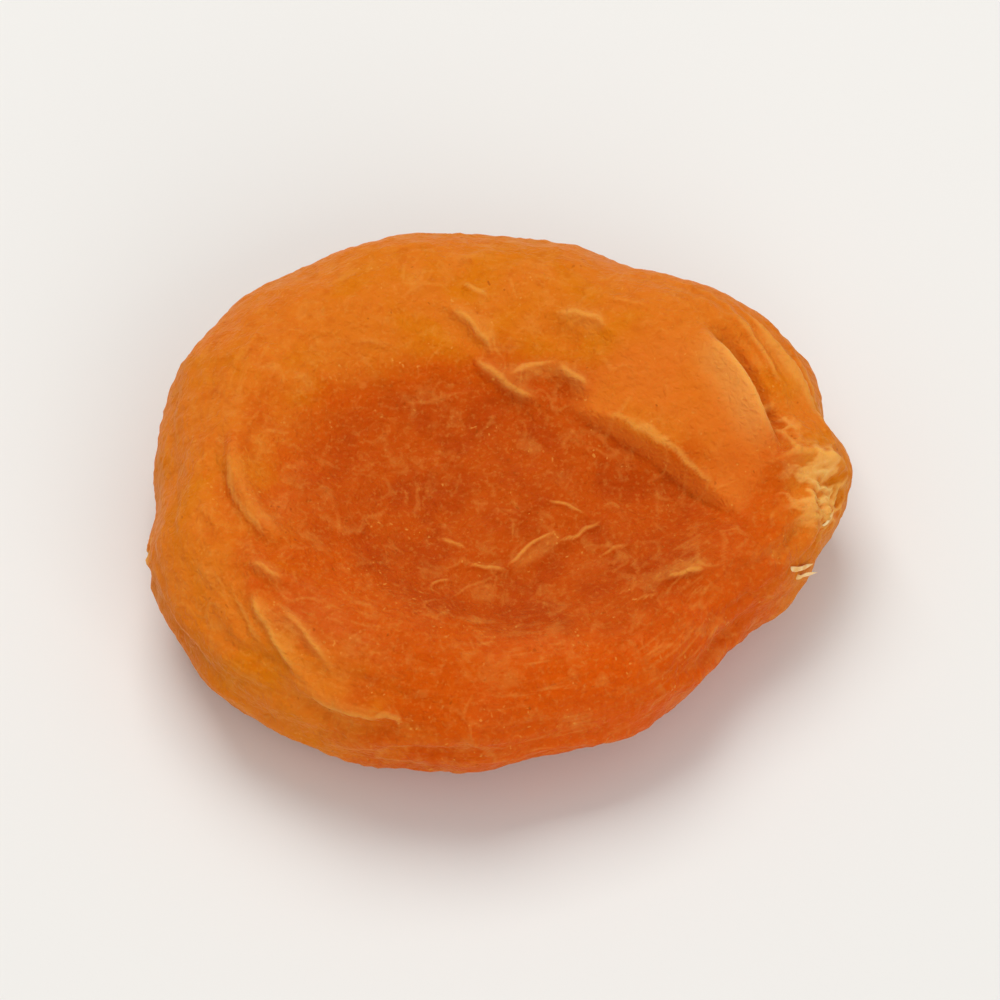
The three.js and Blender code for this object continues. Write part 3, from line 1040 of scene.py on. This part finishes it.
@dataclass
class Apricot:
    """The dried fruit: its form, its fine skin and the net that they are worked out on."""

    name: str = "dried_apricot"
    form: FruitForm = field(default_factory=FruitForm)
    skin: FineSkin = field(default_factory=FineSkin)
    net: DiscNet = field(default_factory=DiscNet)
    search_steps: int = 3000
    top_shade: FaceShade = FaceShade((0.6, 1.25), (0.7, 1.35))
    under_shade: FaceShade = FaceShade((0.5, 1.3), (0.8, 1.4))
    floor_shift: float = 0.8
    lobe_share: float = 0.7
    lobe_edge: tuple[float, float] = (0.15, 0.7)
    rim_edge: tuple[float, float] = (0.5, 0.75)
    golden_rim_edge: tuple[float, float] = (0.68, 0.92)
    # Painted light: a redder, brighter colour is laid on the front-right flank to lift the shade there; it
    # starts at these reaches.
    flank_painted_light_edge: tuple[float, float] = (0.6, 0.9)
    flank_crest_share: float = 0.65
    # Partly painted light: besides the skin's own golden tone, the golden rim lies round the back and sides
    # and not on the front, so the back that the key light falls on reads lighter and the shaded front darker.
    golden_lit_sides: tuple[Swell, ...] = (
        Swell(112, 74, 1.0),
        Swell(30, 34, 0.8),
        Swell(192, 24, 0.32),
    )
    # Partly painted light: more golden rim at these bearings on the left and right edges.
    golden_lit_rim_sides: tuple[Swell, ...] = (
        Swell(222, 26, 1.05),
        Swell(180, 26, 0.4),
        Swell(-4, 18, 0.75),
    )
    # Where the painted light of the shaded front-right flank lies round the fruit.
    flank_painted_light_side: Swell = Swell(296, 46, 0.4)

    def face_points(self, face: Face) -> tuple[Array, dict[str, Array]]:
        """Work out one face: its points in mm, and the marks that its colours follow.

        Args:
            face: which face is wanted.

        Returns:
            The points, one row each, and one value for each point under each mark's name.
        """
        bearing, reach = self.net.places(face)
        at = self.form.place(bearing, reach, face)
        base = self.form.base_height(at)
        fine, shown = self.skin.height(at, base)
        raised = self.form.raised(at) + fine
        side = at.outward * raised
        height = np.maximum(base + face.value * at.inward * raised, 0.0)
        points = np.stack([at.x + side * np.cos(bearing), at.y + side * np.sin(bearing), height], axis=1)
        return points, self.marks(at) | shown

    def top_marks(self, at: SkinPlace) -> dict[str, Array]:
        """Work out the upper face's own marks, where the lobe is no part of the deep floor.

        Args:
            at: the places of the face's net.

        Returns:
            How far out of the hollow each point is; where the lobe's shaded step takes painted light; the
            bottom of the slit's cut, where shade is painted; and the inner lip, pale skin that also takes
            painted light; the last three each from 0 to 1.
        """
        form = self.form
        lobe = form.lobe.height(at.spread_x, at.spread_y) / form.lobe.high
        reach = form.top_hollow.reach(at.x, at.y + self.floor_shift)
        return {
            "out": reach + self.lobe_share * smooth_step(*self.lobe_edge, lobe),
            # Painted light: the lobe's steep step faces away from the key light, and a lighter orange is laid
            # on its face to lift that shade.
            "step": 4.0 * lobe * (1.0 - lobe),
            "cleft_shade": form.slit.cleft_shade(at.spread_x, at.spread_y),
            "lip": form.slit.pale_lip_and_painted_light(at.spread_x, at.spread_y),
        }

    def marks(self, at: SkinPlace) -> dict[str, Array]:
        """Work out the marks that the colours of the main form follow.

        Args:
            at: the places of the face's net.

        Returns:
            The lobe step's painted light, the cut's painted shade, the inner lip's pale skin and painted
            light, the deep floor, the golden rim that is partly painted light, the fold crests' pale skin and
            painted highlight, the front-right flank's painted light, and the rim, each from 0 to 1.
        """
        form = self.form
        if at.face is Face.TOP:
            shade = self.top_shade
            folds = form.top_folds
            marks = self.top_marks(at)
        else:
            shade = self.under_shade
            folds = form.under_folds
            marks = {name: np.zeros_like(at.x) for name in ("step", "cleft_shade", "lip")}
            marks["out"] = form.under_hollow.reach(at.x, at.y)
        out = marks.pop("out")
        # Pale skin along the fold crests, partly painted highlight where the folds catch the light.
        crest = at.face_share * sum(fold.crest(at.spread_x, at.spread_y) for fold in folds)
        flank_crest = sum(fold.crest(*form.by_flank(fold, at)) for fold in form.flank_folds)
        crest += self.flank_crest_share * flank_crest
        # Partly painted light: the golden rim lies round the back and sides and not on the shaded front.
        lit_golden = sum(side.height(at.bearing) for side in self.golden_lit_sides)
        lit_golden_rim = sum(side.height(at.bearing) for side in self.golden_lit_rim_sides)
        lit_golden = lit_golden + smooth_step(*self.golden_rim_edge, at.reach) * lit_golden_rim
        return marks | {
            "sunken": (1.0 - smooth_step(*shade.sunken, out)) * at.face_share,
            "golden": smooth_step(*shade.golden, out) * np.clip(lit_golden, 0.0, 1.0),
            "crest": np.clip(crest, 0.0, 1.0),
            # Painted light on the shaded front-right flank.
            "flank_painted_light": smooth_step(*self.flank_painted_light_edge, at.reach) * self.flank_painted_light_side.height(at.bearing),
            "rim": smooth_step(*self.rim_edge, at.reach),
        }

    def rim_places(self, face: Face) -> Array:
        """Work out where each point of a face is round a ring of the flank's radius, and over the seam.

        Args:
            face: which face it is.

        Returns:
            The places, one row each, in mm.
        """
        at = self.form.place(*self.net.places(face), face)
        ring = self.form.flank_radius
        return np.stack([ring * np.cos(at.bearing), ring * np.sin(at.bearing), at.over_seam()], axis=1)

    def skin_points(self, spread_x: Array, spread_y: Array, above: Array) -> Array:
        """Find points over the upper skin: the nearest of many reaches, raised square to the skin.

        Args:
            spread_x: their places along +X with the rim laid flat, in mm.
            spread_y: their places along +Y with the rim laid flat, in mm.
            above: how far they are over the main form, in mm.

        Returns:
            The points, one row each, in mm, before the fruit is moved into the solid's box.
        """
        reach, bearing = np.meshgrid(np.linspace(0.0, 1.0, self.search_steps), np.arctan2(spread_y, spread_x))
        at = self.form.place(bearing, reach, Face.TOP)
        row = np.arange(len(above))
        nearest = np.argmin(np.abs(at.spread - np.hypot(spread_x, spread_y)[:, None]), axis=1)
        raised = self.form.raised(at)[row, nearest] + above
        out = np.hypot(at.x, at.y)[row, nearest] + at.outward[row, nearest] * raised
        up = self.form.base_height(at)[row, nearest] + at.inward[row, nearest] * raised
        return np.stack([out * np.cos(bearing[:, 0]), out * np.sin(bearing[:, 0]), up], axis=1)

    def build(self, low: Vector, high: Vector) -> tuple[bpy.types.Object, Array]:
        """Build the fruit's mesh in the solid's box.

        Args:
            low: the solid's lowest corner, in metres.
            high: the solid's highest corner, in metres.

        Returns:
            The fruit, smooth shaded, with its marks as point attributes, and how far its
            points were moved, in mm.
        """
        top, top_marks = self.face_points(Face.TOP)
        under, under_marks = self.face_points(Face.UNDER)
        inside = self.net.under_inside()
        points = np.concatenate([top, under[inside]])
        shift = 0.5 * (np.array(low) + np.array(high)) / MM - 0.5 * (points.min(axis=0) + points.max(axis=0))
        shift[2] = 0.0
        points += shift
        piece = mesh_object(self.name, points * MM, *self.net.facets())
        for name, values in top_marks.items():
            both = np.concatenate([values, under_marks[name][inside]])
            attribute = piece.data.attributes.new(name, "FLOAT", "POINT")
            attribute.data.foreach_set("value", both.astype(np.float32))
        rim_places = np.concatenate([self.rim_places(Face.TOP), self.rim_places(Face.UNDER)[inside]])
        attribute = piece.data.attributes.new("rim_place", "FLOAT_VECTOR", "POINT")
        attribute.data.foreach_set("vector", rim_places.astype(np.float32).ravel())
        return piece, shift


Colour = tuple[float, float, float, float]


def hex_colour(code: str) -> Colour:
    """Turn a screen colour into the linear colour that a shader takes, by the screen's own curve.

    Args:
        code: the colour as six digits of base 16, such as d8762b.

    Returns:
        Red, green, blue and a full alpha.
    """
    parts = [int(code[k:k + 2], 16) / 255.0 for k in (0, 2, 4)]
    linear = [c / 12.92 if c <= 0.04045 else ((c + 0.055) / 1.055) ** 2.4 for c in parts]
    return (linear[0], linear[1], linear[2], 1.0)


class Nodes:
    """A short way to write a material's node tree.

    The walls of cells are bent by cell_bend cells, by a noise with bend_step lumps to a cell.
    """

    cell_bend: float = 1.5
    bend_step: float = 0.7

    def __init__(self, name: str) -> None:
        """Start an empty material with one principled shader.

        Args:
            name: the material's name.
        """
        self.material = bpy.data.materials.new(name)
        self.material.use_nodes = True
        self.tree = self.material.node_tree
        self.tree.nodes.clear()
        output = self.tree.nodes.new("ShaderNodeOutputMaterial")
        self.shader = self.tree.nodes.new("ShaderNodeBsdfPrincipled")
        self.tree.links.new(self.shader.outputs["BSDF"], output.inputs["Surface"])
        self.place = self.tree.nodes.new("ShaderNodeTexCoord").outputs["Object"]

    def fill(self, node: bpy.types.Node, inputs: dict[str | int, object]) -> None:
        """Fill a node's inputs: a socket is joined, and a plain value is set on the input itself.

        Args:
            node: the node.
            inputs: a value or another node's output under each input's name or number.
        """
        for name, value in inputs.items():
            if isinstance(value, bpy.types.NodeSocket):
                self.tree.links.new(value, node.inputs[name])
            else:
                node.inputs[name].default_value = value

    def add(self, kind: str, output: str | int, inputs: dict[str | int, object],
            **settings: str) -> bpy.types.NodeSocket:
        """Add a node to the tree.

        Args:
            kind: the node's type.
            output: the name or number of the output that is wanted.
            inputs: a value or another node's output under each input's name or number.
            settings: the node's own options.

        Returns:
            The wanted output.
        """
        node = self.tree.nodes.new(kind)
        for name, value in settings.items():
            setattr(node, name, value)
        self.fill(node, inputs)
        return node.outputs[output]

    def mark(self, name: str) -> bpy.types.NodeSocket:
        """Return a point attribute's value."""
        return self.add("ShaderNodeAttribute", "Fac", {}, attribute_name=name)

    def noise(self, per_mm: float, detail: float = 2.0, distortion: float = 0.0) -> bpy.types.NodeSocket:
        """Return noise from 0 to 1 with a number of lumps per millimetre of the object."""
        inputs = {"Vector": self.place, "Scale": per_mm / MM, "Detail": detail, "Distortion": distortion}
        return self.add("ShaderNodeTexNoise", "Fac", inputs)

    def winding(self, per_mm: float, detail: float, distortion: float) -> bpy.types.NodeSocket:
        """Return how far noise is from its middle value: 0 on winding lines, and more between them."""
        return self.maths("ABSOLUTE", self.maths("SUBTRACT", self.noise(per_mm, detail, distortion), 0.5))

    def streaks(self, place: str, shrink: tuple[float, float, float], detail: float) -> bpy.types.NodeSocket:
        """Make noise that is stretched into streaks.

        Args:
            place: the attribute that holds the places, in mm.
            shrink: the number that each axis of the places is multiplied by.
            detail: how many finer layers the noise has.

        Returns:
            The noise, from 0 to 1.
        """
        at = self.add("ShaderNodeAttribute", "Vector", {}, attribute_name=place)
        scaled = self.add("ShaderNodeVectorMath", "Vector", {0: at, 1: shrink}, operation="MULTIPLY")
        return self.add("ShaderNodeTexNoise", "Fac", {"Vector": scaled, "Scale": 1.0, "Detail": detail})

    def cells(self, per_mm: float, feature: str) -> bpy.types.NodeSocket:
        """Make cells in space, their walls bent by noise.

        Args:
            per_mm: how many cells stand in a millimetre.
            feature: which distance the node gives.

        Returns:
            That distance, in cells.
        """
        coarse = {"Vector": self.place, "Scale": per_mm * self.bend_step / MM}
        bend = self.add("ShaderNodeTexNoise", "Color", coarse)
        wander = (self.cell_bend * MM / per_mm,) * 3
        moved = self.add("ShaderNodeVectorMath", "Vector", {0: bend, 1: wander, 2: self.place},
                         operation="MULTIPLY_ADD")
        return self.add("ShaderNodeTexVoronoi", "Distance", {"Vector": moved, "Scale": per_mm / MM},
                        feature=feature)

    def maths(self, operation: str, a: object, b: object = 0.0) -> bpy.types.NodeSocket:
        """Return a sum, product or other operation of two values."""
        return self.add("ShaderNodeMath", 0, {0: a, 1: b}, operation=operation)

    def range(self, value: object, low: float, high: float, out_low: float = 0.0, out_high: float = 1.0,
              ) -> bpy.types.NodeSocket:
        """Return a value carried smoothly from one range to another."""
        inputs = {"Value": value, "From Min": low, "From Max": high, "To Min": out_low, "To Max": out_high}
        return self.add("ShaderNodeMapRange", "Result", inputs, interpolation_type="SMOOTHSTEP")

    def mix(self, share: object, under: object, over: object) -> bpy.types.NodeSocket:
        """Return one colour laid over another by a share."""
        return self.add("ShaderNodeMix", 2, {0: share, 6: under, 7: over}, data_type="RGBA")

    def laid(self, colour: object, layers: "tuple[Layer, ...]") -> bpy.types.NodeSocket:
        """Lay layers of colour over a colour, in their order.

        Args:
            colour: the colour that lies under them.
            layers: the layers, each with its own colour and share.

        Returns:
            The colour that shows.
        """
        for layer in layers:
            colour = self.mix(layer.share(self), colour, layer.colour)
        return colour

    def bump(self, height: object, distance: float, strength: float, normal: object = None,
             ) -> bpy.types.NodeSocket:
        """Bend normals by a height.

        Args:
            height: the height, from 0 to 1.
            distance: how much a height of 1 is, in mm.
            strength: how strongly it bends them.
            normal: the normals that are bent, where they aren't the surface's own.

        Returns:
            The bent normals.
        """
        inputs = {"Strength": strength, "Distance": distance * MM, "Height": height}
        if normal is not None:
            inputs["Normal"] = normal
        return self.add("ShaderNodeBump", "Normal", inputs)


@dataclass(frozen=True)
class Patches:
    """A colour in patches of a noise: its lumps per mm, where it starts and is full, and how strong it is."""

    colour: Colour
    per_mm: float
    detail: float
    starts: float
    full: float
    strength: float = 1.0
    distortion: float = 0.0

    def share(self, nodes: Nodes) -> bpy.types.NodeSocket:
        """Return the noise carried from its range to 0 and the strength."""
        noise = nodes.noise(self.per_mm, self.detail, self.distortion)
        return nodes.range(noise, self.starts, self.full, 0.0, self.strength)


@dataclass(frozen=True)
class Veins:
    """A colour in soft winding lines, where a bent noise passes its middle value."""

    colour: Colour
    per_mm: float = 0.55
    detail: float = 3.0
    distortion: float = 0.7
    breadth: float = 0.1
    strength: float = 0.36

    def share(self, nodes: Nodes) -> bpy.types.NodeSocket:
        """Return the strength on the lines, falling to 0 at their breadth."""
        winding = nodes.winding(self.per_mm, self.detail, self.distortion)
        return nodes.range(winding, 0.0, self.breadth, self.strength, 0.0)


@dataclass(frozen=True)
class Spots:
    """A colour in small soft spots: cells per mm, the spots' breadth in cells, and their strength."""

    colour: Colour
    per_mm: float
    breadth: float
    strength: float
    patch_step: float = 0.3
    patch_edge: tuple[float, float] = (0.48, 0.66)

    def share(self, nodes: Nodes) -> bpy.types.NodeSocket:
        """Make spots near the middles of cells, and only in patches of a coarser noise.

        Args:
            nodes: the material that they are for.

        Returns:
            How strongly the spots show.
        """
        near = nodes.cells(self.per_mm, "F1")
        spot = nodes.range(near, 0.5 * self.breadth, self.breadth, self.strength, 0.0)
        patch = nodes.range(nodes.noise(self.patch_step * self.per_mm), *self.patch_edge)
        return nodes.maths("MULTIPLY", spot, patch)


@dataclass(frozen=True)
class Streaks:
    """A colour in fine streaks along the rim, stronger on some stretches of it."""

    colour: Colour
    shrink: tuple[float, float, float] = (0.34, 0.34, 2.4)
    detail: float = 5.0
    edge: tuple[float, float] = (0.5, 0.72)
    strength: float = 0.26
    stretch_per_mm: float = 0.16
    stretch_edge: tuple[float, float] = (0.45, 0.62)
    least: float = 0.15

    def share(self, nodes: Nodes) -> bpy.types.NodeSocket:
        """Make streaks by noise on the rim's own places, times the rim's mark and a coarse noise.

        Args:
            nodes: the material that they are for.

        Returns:
            How strongly the streaks show.
        """
        streaks = nodes.streaks("rim_place", self.shrink, self.detail)
        fine = nodes.range(streaks, *self.edge, 0.0, self.strength)
        stretches = nodes.range(nodes.noise(self.stretch_per_mm), *self.stretch_edge, self.least, 1.0)
        return nodes.maths("MULTIPLY", fine, nodes.maths("MULTIPLY", nodes.mark("rim"), stretches))


@dataclass(frozen=True)
class Marked:
    """A colour where one of the fruit's marks is high: where it starts and is full, and how strong it is."""

    colour: Colour
    mark: str
    starts: float
    full: float
    strength: float

    def share(self, nodes: Nodes) -> bpy.types.NodeSocket:
        """Return the mark carried from its range to 0 and the strength."""
        return nodes.range(nodes.mark(self.mark), self.starts, self.full, 0.0, self.strength)


Layer = Patches | Veins | Spots | Streaks | Marked


@dataclass(frozen=True)
class DriedFlesh:
    """The finish of the fruit: pale downy rim, deep orange floor, soft translucent flesh, with light and
    shade painted on in places.
    """

    flesh: Colour = hex_colour("cb5306")
    golden: Colour = hex_colour("d8731a")
    floor: Colour = hex_colour("c04d09")
    floor_deep: Colour = hex_colour("b24006")
    pale: Colour = hex_colour("e49c44")
    # Painted light: the redder, brighter colour laid on the shaded front-right flank.
    flank_painted_light: Colour = hex_colour("e05200")
    veins: Veins = Veins(hex_colour("bc4403"))
    rosy: Patches = Patches(hex_colour("cd5a1a"), 0.13, 2.0, 0.45, 0.7, 0.8)
    rich: Patches = Patches(hex_colour("d4730a"), 0.17, 2.0, 0.42, 0.62, distortion=0.6)
    deep: Patches = Patches(floor_deep, 0.35, 3.0, 0.4, 0.65)
    ragged_per_mm: float = 0.45
    ragged_detail: float = 4.0
    ragged_edge: tuple[float, float] = (0.3, 0.7)
    ragged_by: float = 0.18
    area_edge: tuple[float, float] = (0.1, 0.9)
    over_all: tuple[Layer, ...] = (
        Patches(pale, 0.8, 5.0, 0.5, 0.72, 0.2, 0.8),
        Patches(floor_deep, 1.1, 5.0, 0.52, 0.75, 0.22),
        Patches(pale, 3.6, 3.0, 0.5, 0.75, 0.2),
        Streaks(pale),
        # Painted light: a lighter orange on the lobe's shaded step face.
        Marked(hex_colour("dc7020"), "step", 0.1, 0.9, 0.68),
        Spots(hex_colour("a04408"), 1.3, 0.16, 0.62),
        Spots(pale, 1.9, 0.2, 0.55),
        # Partly painted highlight: pale skin along the fold crests, where they catch the light.
        Marked(pale, "crest", 0.4, 1.0, 0.22),
        Marked(pale, "thread", 0.3, 1.0, 0.18),
        # Partly painted highlight: pale crease lines and the lobe's bright edge, where they catch the light.
        Marked(pale, "line", 0.35, 1.0, 0.58),
        # Partly painted light: the inner lip's pale skin, laid paler still because its slope is in shade.
        Marked(hex_colour("f2aa54"), "lip", 0.1, 1.0, 0.7),
        # Painted shade: a dark brown at the bottom of the slit's cut.
        Marked(hex_colour("9c4a10"), "cleft_shade", 0.3, 1.0, 0.75),
        Marked(hex_colour("f0b058"), "torn", 0.12, 0.6, 0.7),
        # Painted highlight: a brighter yellow on the highest torn crests.
        Marked(hex_colour("f8c676"), "torn", 0.6, 0.95, 0.6),
    )
    wrinkle_noise: tuple[float, float, float] = (0.9, 3.0, 0.4)
    wrinkle_bump: tuple[float, float] = (0.3, 0.35)
    streak_shrink: tuple[float, float, float] = (0.3, 0.3, 1.9)
    streak_detail: float = 5.0
    streak_bump: tuple[float, float] = (0.35, 0.35)
    crackle_per_mm: float = 2.1
    crackle_breadth: float = 0.5
    crackle_bump: tuple[float, float] = (0.07, 0.7)
    pore_noise: tuple[float, float] = (4.5, 4.0)
    pore_bump: tuple[float, float] = (0.08, 0.6)
    rough_noise: tuple[float, float] = (1.1, 4.0)
    rough_edge: tuple[float, float] = (0.3, 0.7)
    roughness: float = 0.57
    smoother: float = 0.1
    rougher: float = 0.12
    subsurface: float = 0.3
    subsurface_radius: tuple[float, float, float] = (1.0, 0.35, 0.1)
    subsurface_depth: float = 1.4
    sheen: float = 0.24
    sheen_roughness: float = 0.3
    sheen_tint: Colour = hex_colour("ffb668")
    bending: float = 1.42
    gloss: float = 0.26
    gloss_tint: Colour = hex_colour("ffac52")

    def colour(self, nodes: Nodes) -> bpy.types.NodeSocket:
        """Build the colour: flesh, golden rim and deep floor by their marks, then all that lies over them.
        The golden rim is partly painted light, and painted light, shade and highlights lie on the flank,
        step, lip, cut, crests and torn skin.

        Args:
            nodes: the material.

        Returns:
            The colour.
        """
        # Painted light: the flesh turns redder and brighter on the shaded front-right flank.
        flesh = nodes.mix(nodes.mark("flank_painted_light"), nodes.laid(self.flesh, (self.rosy, self.veins)), self.flank_painted_light)
        noise = nodes.noise(self.ragged_per_mm, self.ragged_detail)
        ragged = nodes.range(noise, *self.ragged_edge, -self.ragged_by, self.ragged_by)
        # Partly painted light: the golden rim, lighter round the back and sides.
        rim_share = nodes.range(nodes.maths("ADD", nodes.mark("golden"), ragged), *self.area_edge)
        rim = nodes.mix(rim_share, flesh, nodes.laid(self.golden, (self.rich,)))
        floor_share = nodes.range(nodes.maths("ADD", nodes.mark("sunken"), ragged), *self.area_edge)
        floor = nodes.mix(floor_share, rim, nodes.laid(self.floor, (self.deep, self.veins)))
        return nodes.laid(floor, self.over_all)

    def relief(self, nodes: Nodes) -> bpy.types.NodeSocket:
        """Build the finest relief: soft wrinkles, streaks on the rim, a leathery crackle and pores.

        Args:
            nodes: the material.

        Returns:
            The bent normals.
        """
        normal = nodes.bump(nodes.winding(*self.wrinkle_noise), *self.wrinkle_bump)
        streaks = nodes.streaks("rim_place", self.streak_shrink, self.streak_detail)
        normal = nodes.bump(nodes.maths("MULTIPLY", streaks, nodes.mark("rim")), *self.streak_bump, normal)
        walls = nodes.cells(self.crackle_per_mm, "DISTANCE_TO_EDGE")
        normal = nodes.bump(nodes.range(walls, 0.0, self.crackle_breadth), *self.crackle_bump, normal)
        return nodes.bump(nodes.noise(*self.pore_noise), *self.pore_bump, normal)

    def material(self) -> bpy.types.Material:
        """Build the material from its colour, relief, gloss and soft flesh.

        Returns:
            The material.
        """
        nodes = Nodes("dried_flesh")
        smooth, rough = self.roughness - self.smoother, self.roughness + self.rougher
        nodes.fill(nodes.shader, {
            "Base Color": self.colour(nodes),
            "Normal": self.relief(nodes),
            "Roughness": nodes.range(nodes.noise(*self.rough_noise), *self.rough_edge, smooth, rough),
            "Subsurface Weight": self.subsurface,
            "Subsurface Radius": self.subsurface_radius,
            "Subsurface Scale": self.subsurface_depth * MM,
            "Sheen Weight": self.sheen,
            "Sheen Roughness": self.sheen_roughness,
            "Sheen Tint": self.sheen_tint,
            "IOR": self.bending,
            "Specular IOR Level": self.gloss,
            "Specular Tint": self.gloss_tint,
        })
        return nodes.material


@dataclass(frozen=True)
class DriedShred:
    """The finish of the loose shreds: pale, dry and slightly see-through."""

    pale: Colour = hex_colour("f3cf94")
    warm: Patches = Patches(hex_colour("eaac5c"), 1.3, 3.0, 0.4, 0.65)
    grain_noise: tuple[float, float] = (6.0, 3.0)
    grain_bump: tuple[float, float] = (0.03, 0.5)
    roughness: float = 0.6
    subsurface: float = 0.3
    subsurface_radius: tuple[float, float, float] = (1.0, 0.5, 0.2)
    subsurface_depth: float = 0.3

    def material(self) -> bpy.types.Material:
        """Build the material: pale skin with warmer stretches and a fine grain.

        Returns:
            The material.
        """
        nodes = Nodes("dried_shred")
        nodes.fill(nodes.shader, {
            "Base Color": nodes.laid(self.pale, (self.warm,)),
            "Normal": nodes.bump(nodes.noise(*self.grain_noise), *self.grain_bump),
            "Roughness": self.roughness,
            "Subsurface Weight": self.subsurface,
            "Subsurface Radius": self.subsurface_radius,
            "Subsurface Scale": self.subsurface_depth * MM,
        })
        return nodes.material


@dataclass(frozen=True)
class SoftLight:
    """A square soft light: its place and breadth in metres, its power in watts and its colour."""

    name: str
    place: tuple[float, float, float]
    breadth: float
    power: float
    colour: tuple[float, float, float] = (1.0, 0.98, 0.95)

    def build(self, target: Vector) -> bpy.types.Object:
        """Build the light so that it faces a place.

        Args:
            target: the place, in metres.

        Returns:
            The light.
        """
        data = bpy.data.lights.new(self.name, "AREA")
        data.shape = "SQUARE"
        data.size = self.breadth
        data.energy = self.power
        data.color = self.colour
        light = bpy.data.objects.new(self.name, data)
        light.location = self.place
        light.rotation_euler = (target - Vector(self.place)).to_track_quat("-Z", "Y").to_euler()
        bpy.context.scene.collection.objects.link(light)
        return light


@dataclass
class Studio:
    """The pale floor, the soft lights and the camera, in metres and degrees."""

    floor_breadth: float = 3.0
    floor_colour: Colour = (0.8, 0.8, 0.79, 1.0)
    floor_roughness: float = 0.7
    camera_height: float = 58.0
    camera_distance: float = 0.7
    sensor_width: float = 36.0
    frame_breadth: float = 0.060
    target: tuple[float, float, float] = (0.0, 0.0, 0.0056)
    key_light: SoftLight = SoftLight("key_light", (-0.12, 0.38, 0.68), 0.5, 3.6)
    front_fill: SoftLight = SoftLight("front_fill", (0.3, -0.65, 0.42), 0.7, 2.6)
    sky_colour: Colour = (1.0, 0.98, 0.95, 1.0)
    sky_strength: float = 0.5

    def build_floor(self) -> bpy.types.Object:
        """Build the floor as one large flat square just under the fruit.

        Returns:
            The floor.
        """
        half = self.floor_breadth / 2.0
        points = np.array([[-half, -half, 0.0], [half, -half, 0.0], [half, half, 0.0], [-half, half, 0.0]])
        floor = mesh_object("floor", points, np.arange(4), np.array([4]))
        nodes = Nodes("pale_floor")
        nodes.fill(nodes.shader, {"Base Color": self.floor_colour, "Roughness": self.floor_roughness})
        floor.data.materials.append(nodes.material)
        return floor

    def build_sky(self) -> bpy.types.World:
        """Build the pale even sky.

        Returns:
            The world that holds it.
        """
        world = bpy.data.worlds.new("pale_sky")
        world.use_nodes = True
        background = world.node_tree.nodes["Background"]
        background.inputs["Color"].default_value = self.sky_colour
        background.inputs["Strength"].default_value = self.sky_strength
        bpy.context.scene.world = world
        return world

    def build_camera(self) -> bpy.types.Object:
        """Place the camera at the photograph's angle, in front of the fruit and above it.

        Returns:
            The camera.
        """
        data = bpy.data.cameras.new("camera")
        data.sensor_fit = "HORIZONTAL"
        data.sensor_width = self.sensor_width
        data.lens = self.sensor_width * self.camera_distance / self.frame_breadth
        camera = bpy.data.objects.new("camera", data)
        angle = math.radians(self.camera_height)
        offset = Vector((0.0, -math.cos(angle), math.sin(angle))) * self.camera_distance
        camera.location = Vector(self.target) + offset
        camera.rotation_euler = (-offset).to_track_quat("-Z", "Y").to_euler()
        bpy.context.scene.collection.objects.link(camera)
        bpy.context.scene.camera = camera
        return camera

    def build(self) -> None:
        """Build the camera, the floor, the key light above and behind, the fill in front, and the sky."""
        self.build_camera()
        self.build_floor()
        for light in (self.key_light, self.front_fill):
            light.build(Vector(self.target))
        self.build_sky()
        bpy.context.scene.view_settings.view_transform = "Standard"


def main() -> None:
    """Build the studio and the fruit, and report each piece."""
    logging.basicConfig(level=logging.INFO, format="%(name)s: %(message)s")
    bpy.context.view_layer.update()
    Studio().build()
    LOG.info("studio: floor, lights and camera")
    low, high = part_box("apricot")
    apricot = Apricot()
    fruit, shift = apricot.build(low, high)
    fruit.data.materials.append(DriedFlesh().material())
    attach(fruit, "root")
    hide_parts("apricot")
    LOG.info("%s: %d facets", fruit.name, len(fruit.data.polygons))
    shreds = TornShreds().build(apricot, shift)
    shreds.data.materials.append(DriedShred().material())
    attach(shreds, "root")
    LOG.info("%s: %d facets", shreds.name, len(shreds.data.polygons))


if __name__ == "__main__":
    main()
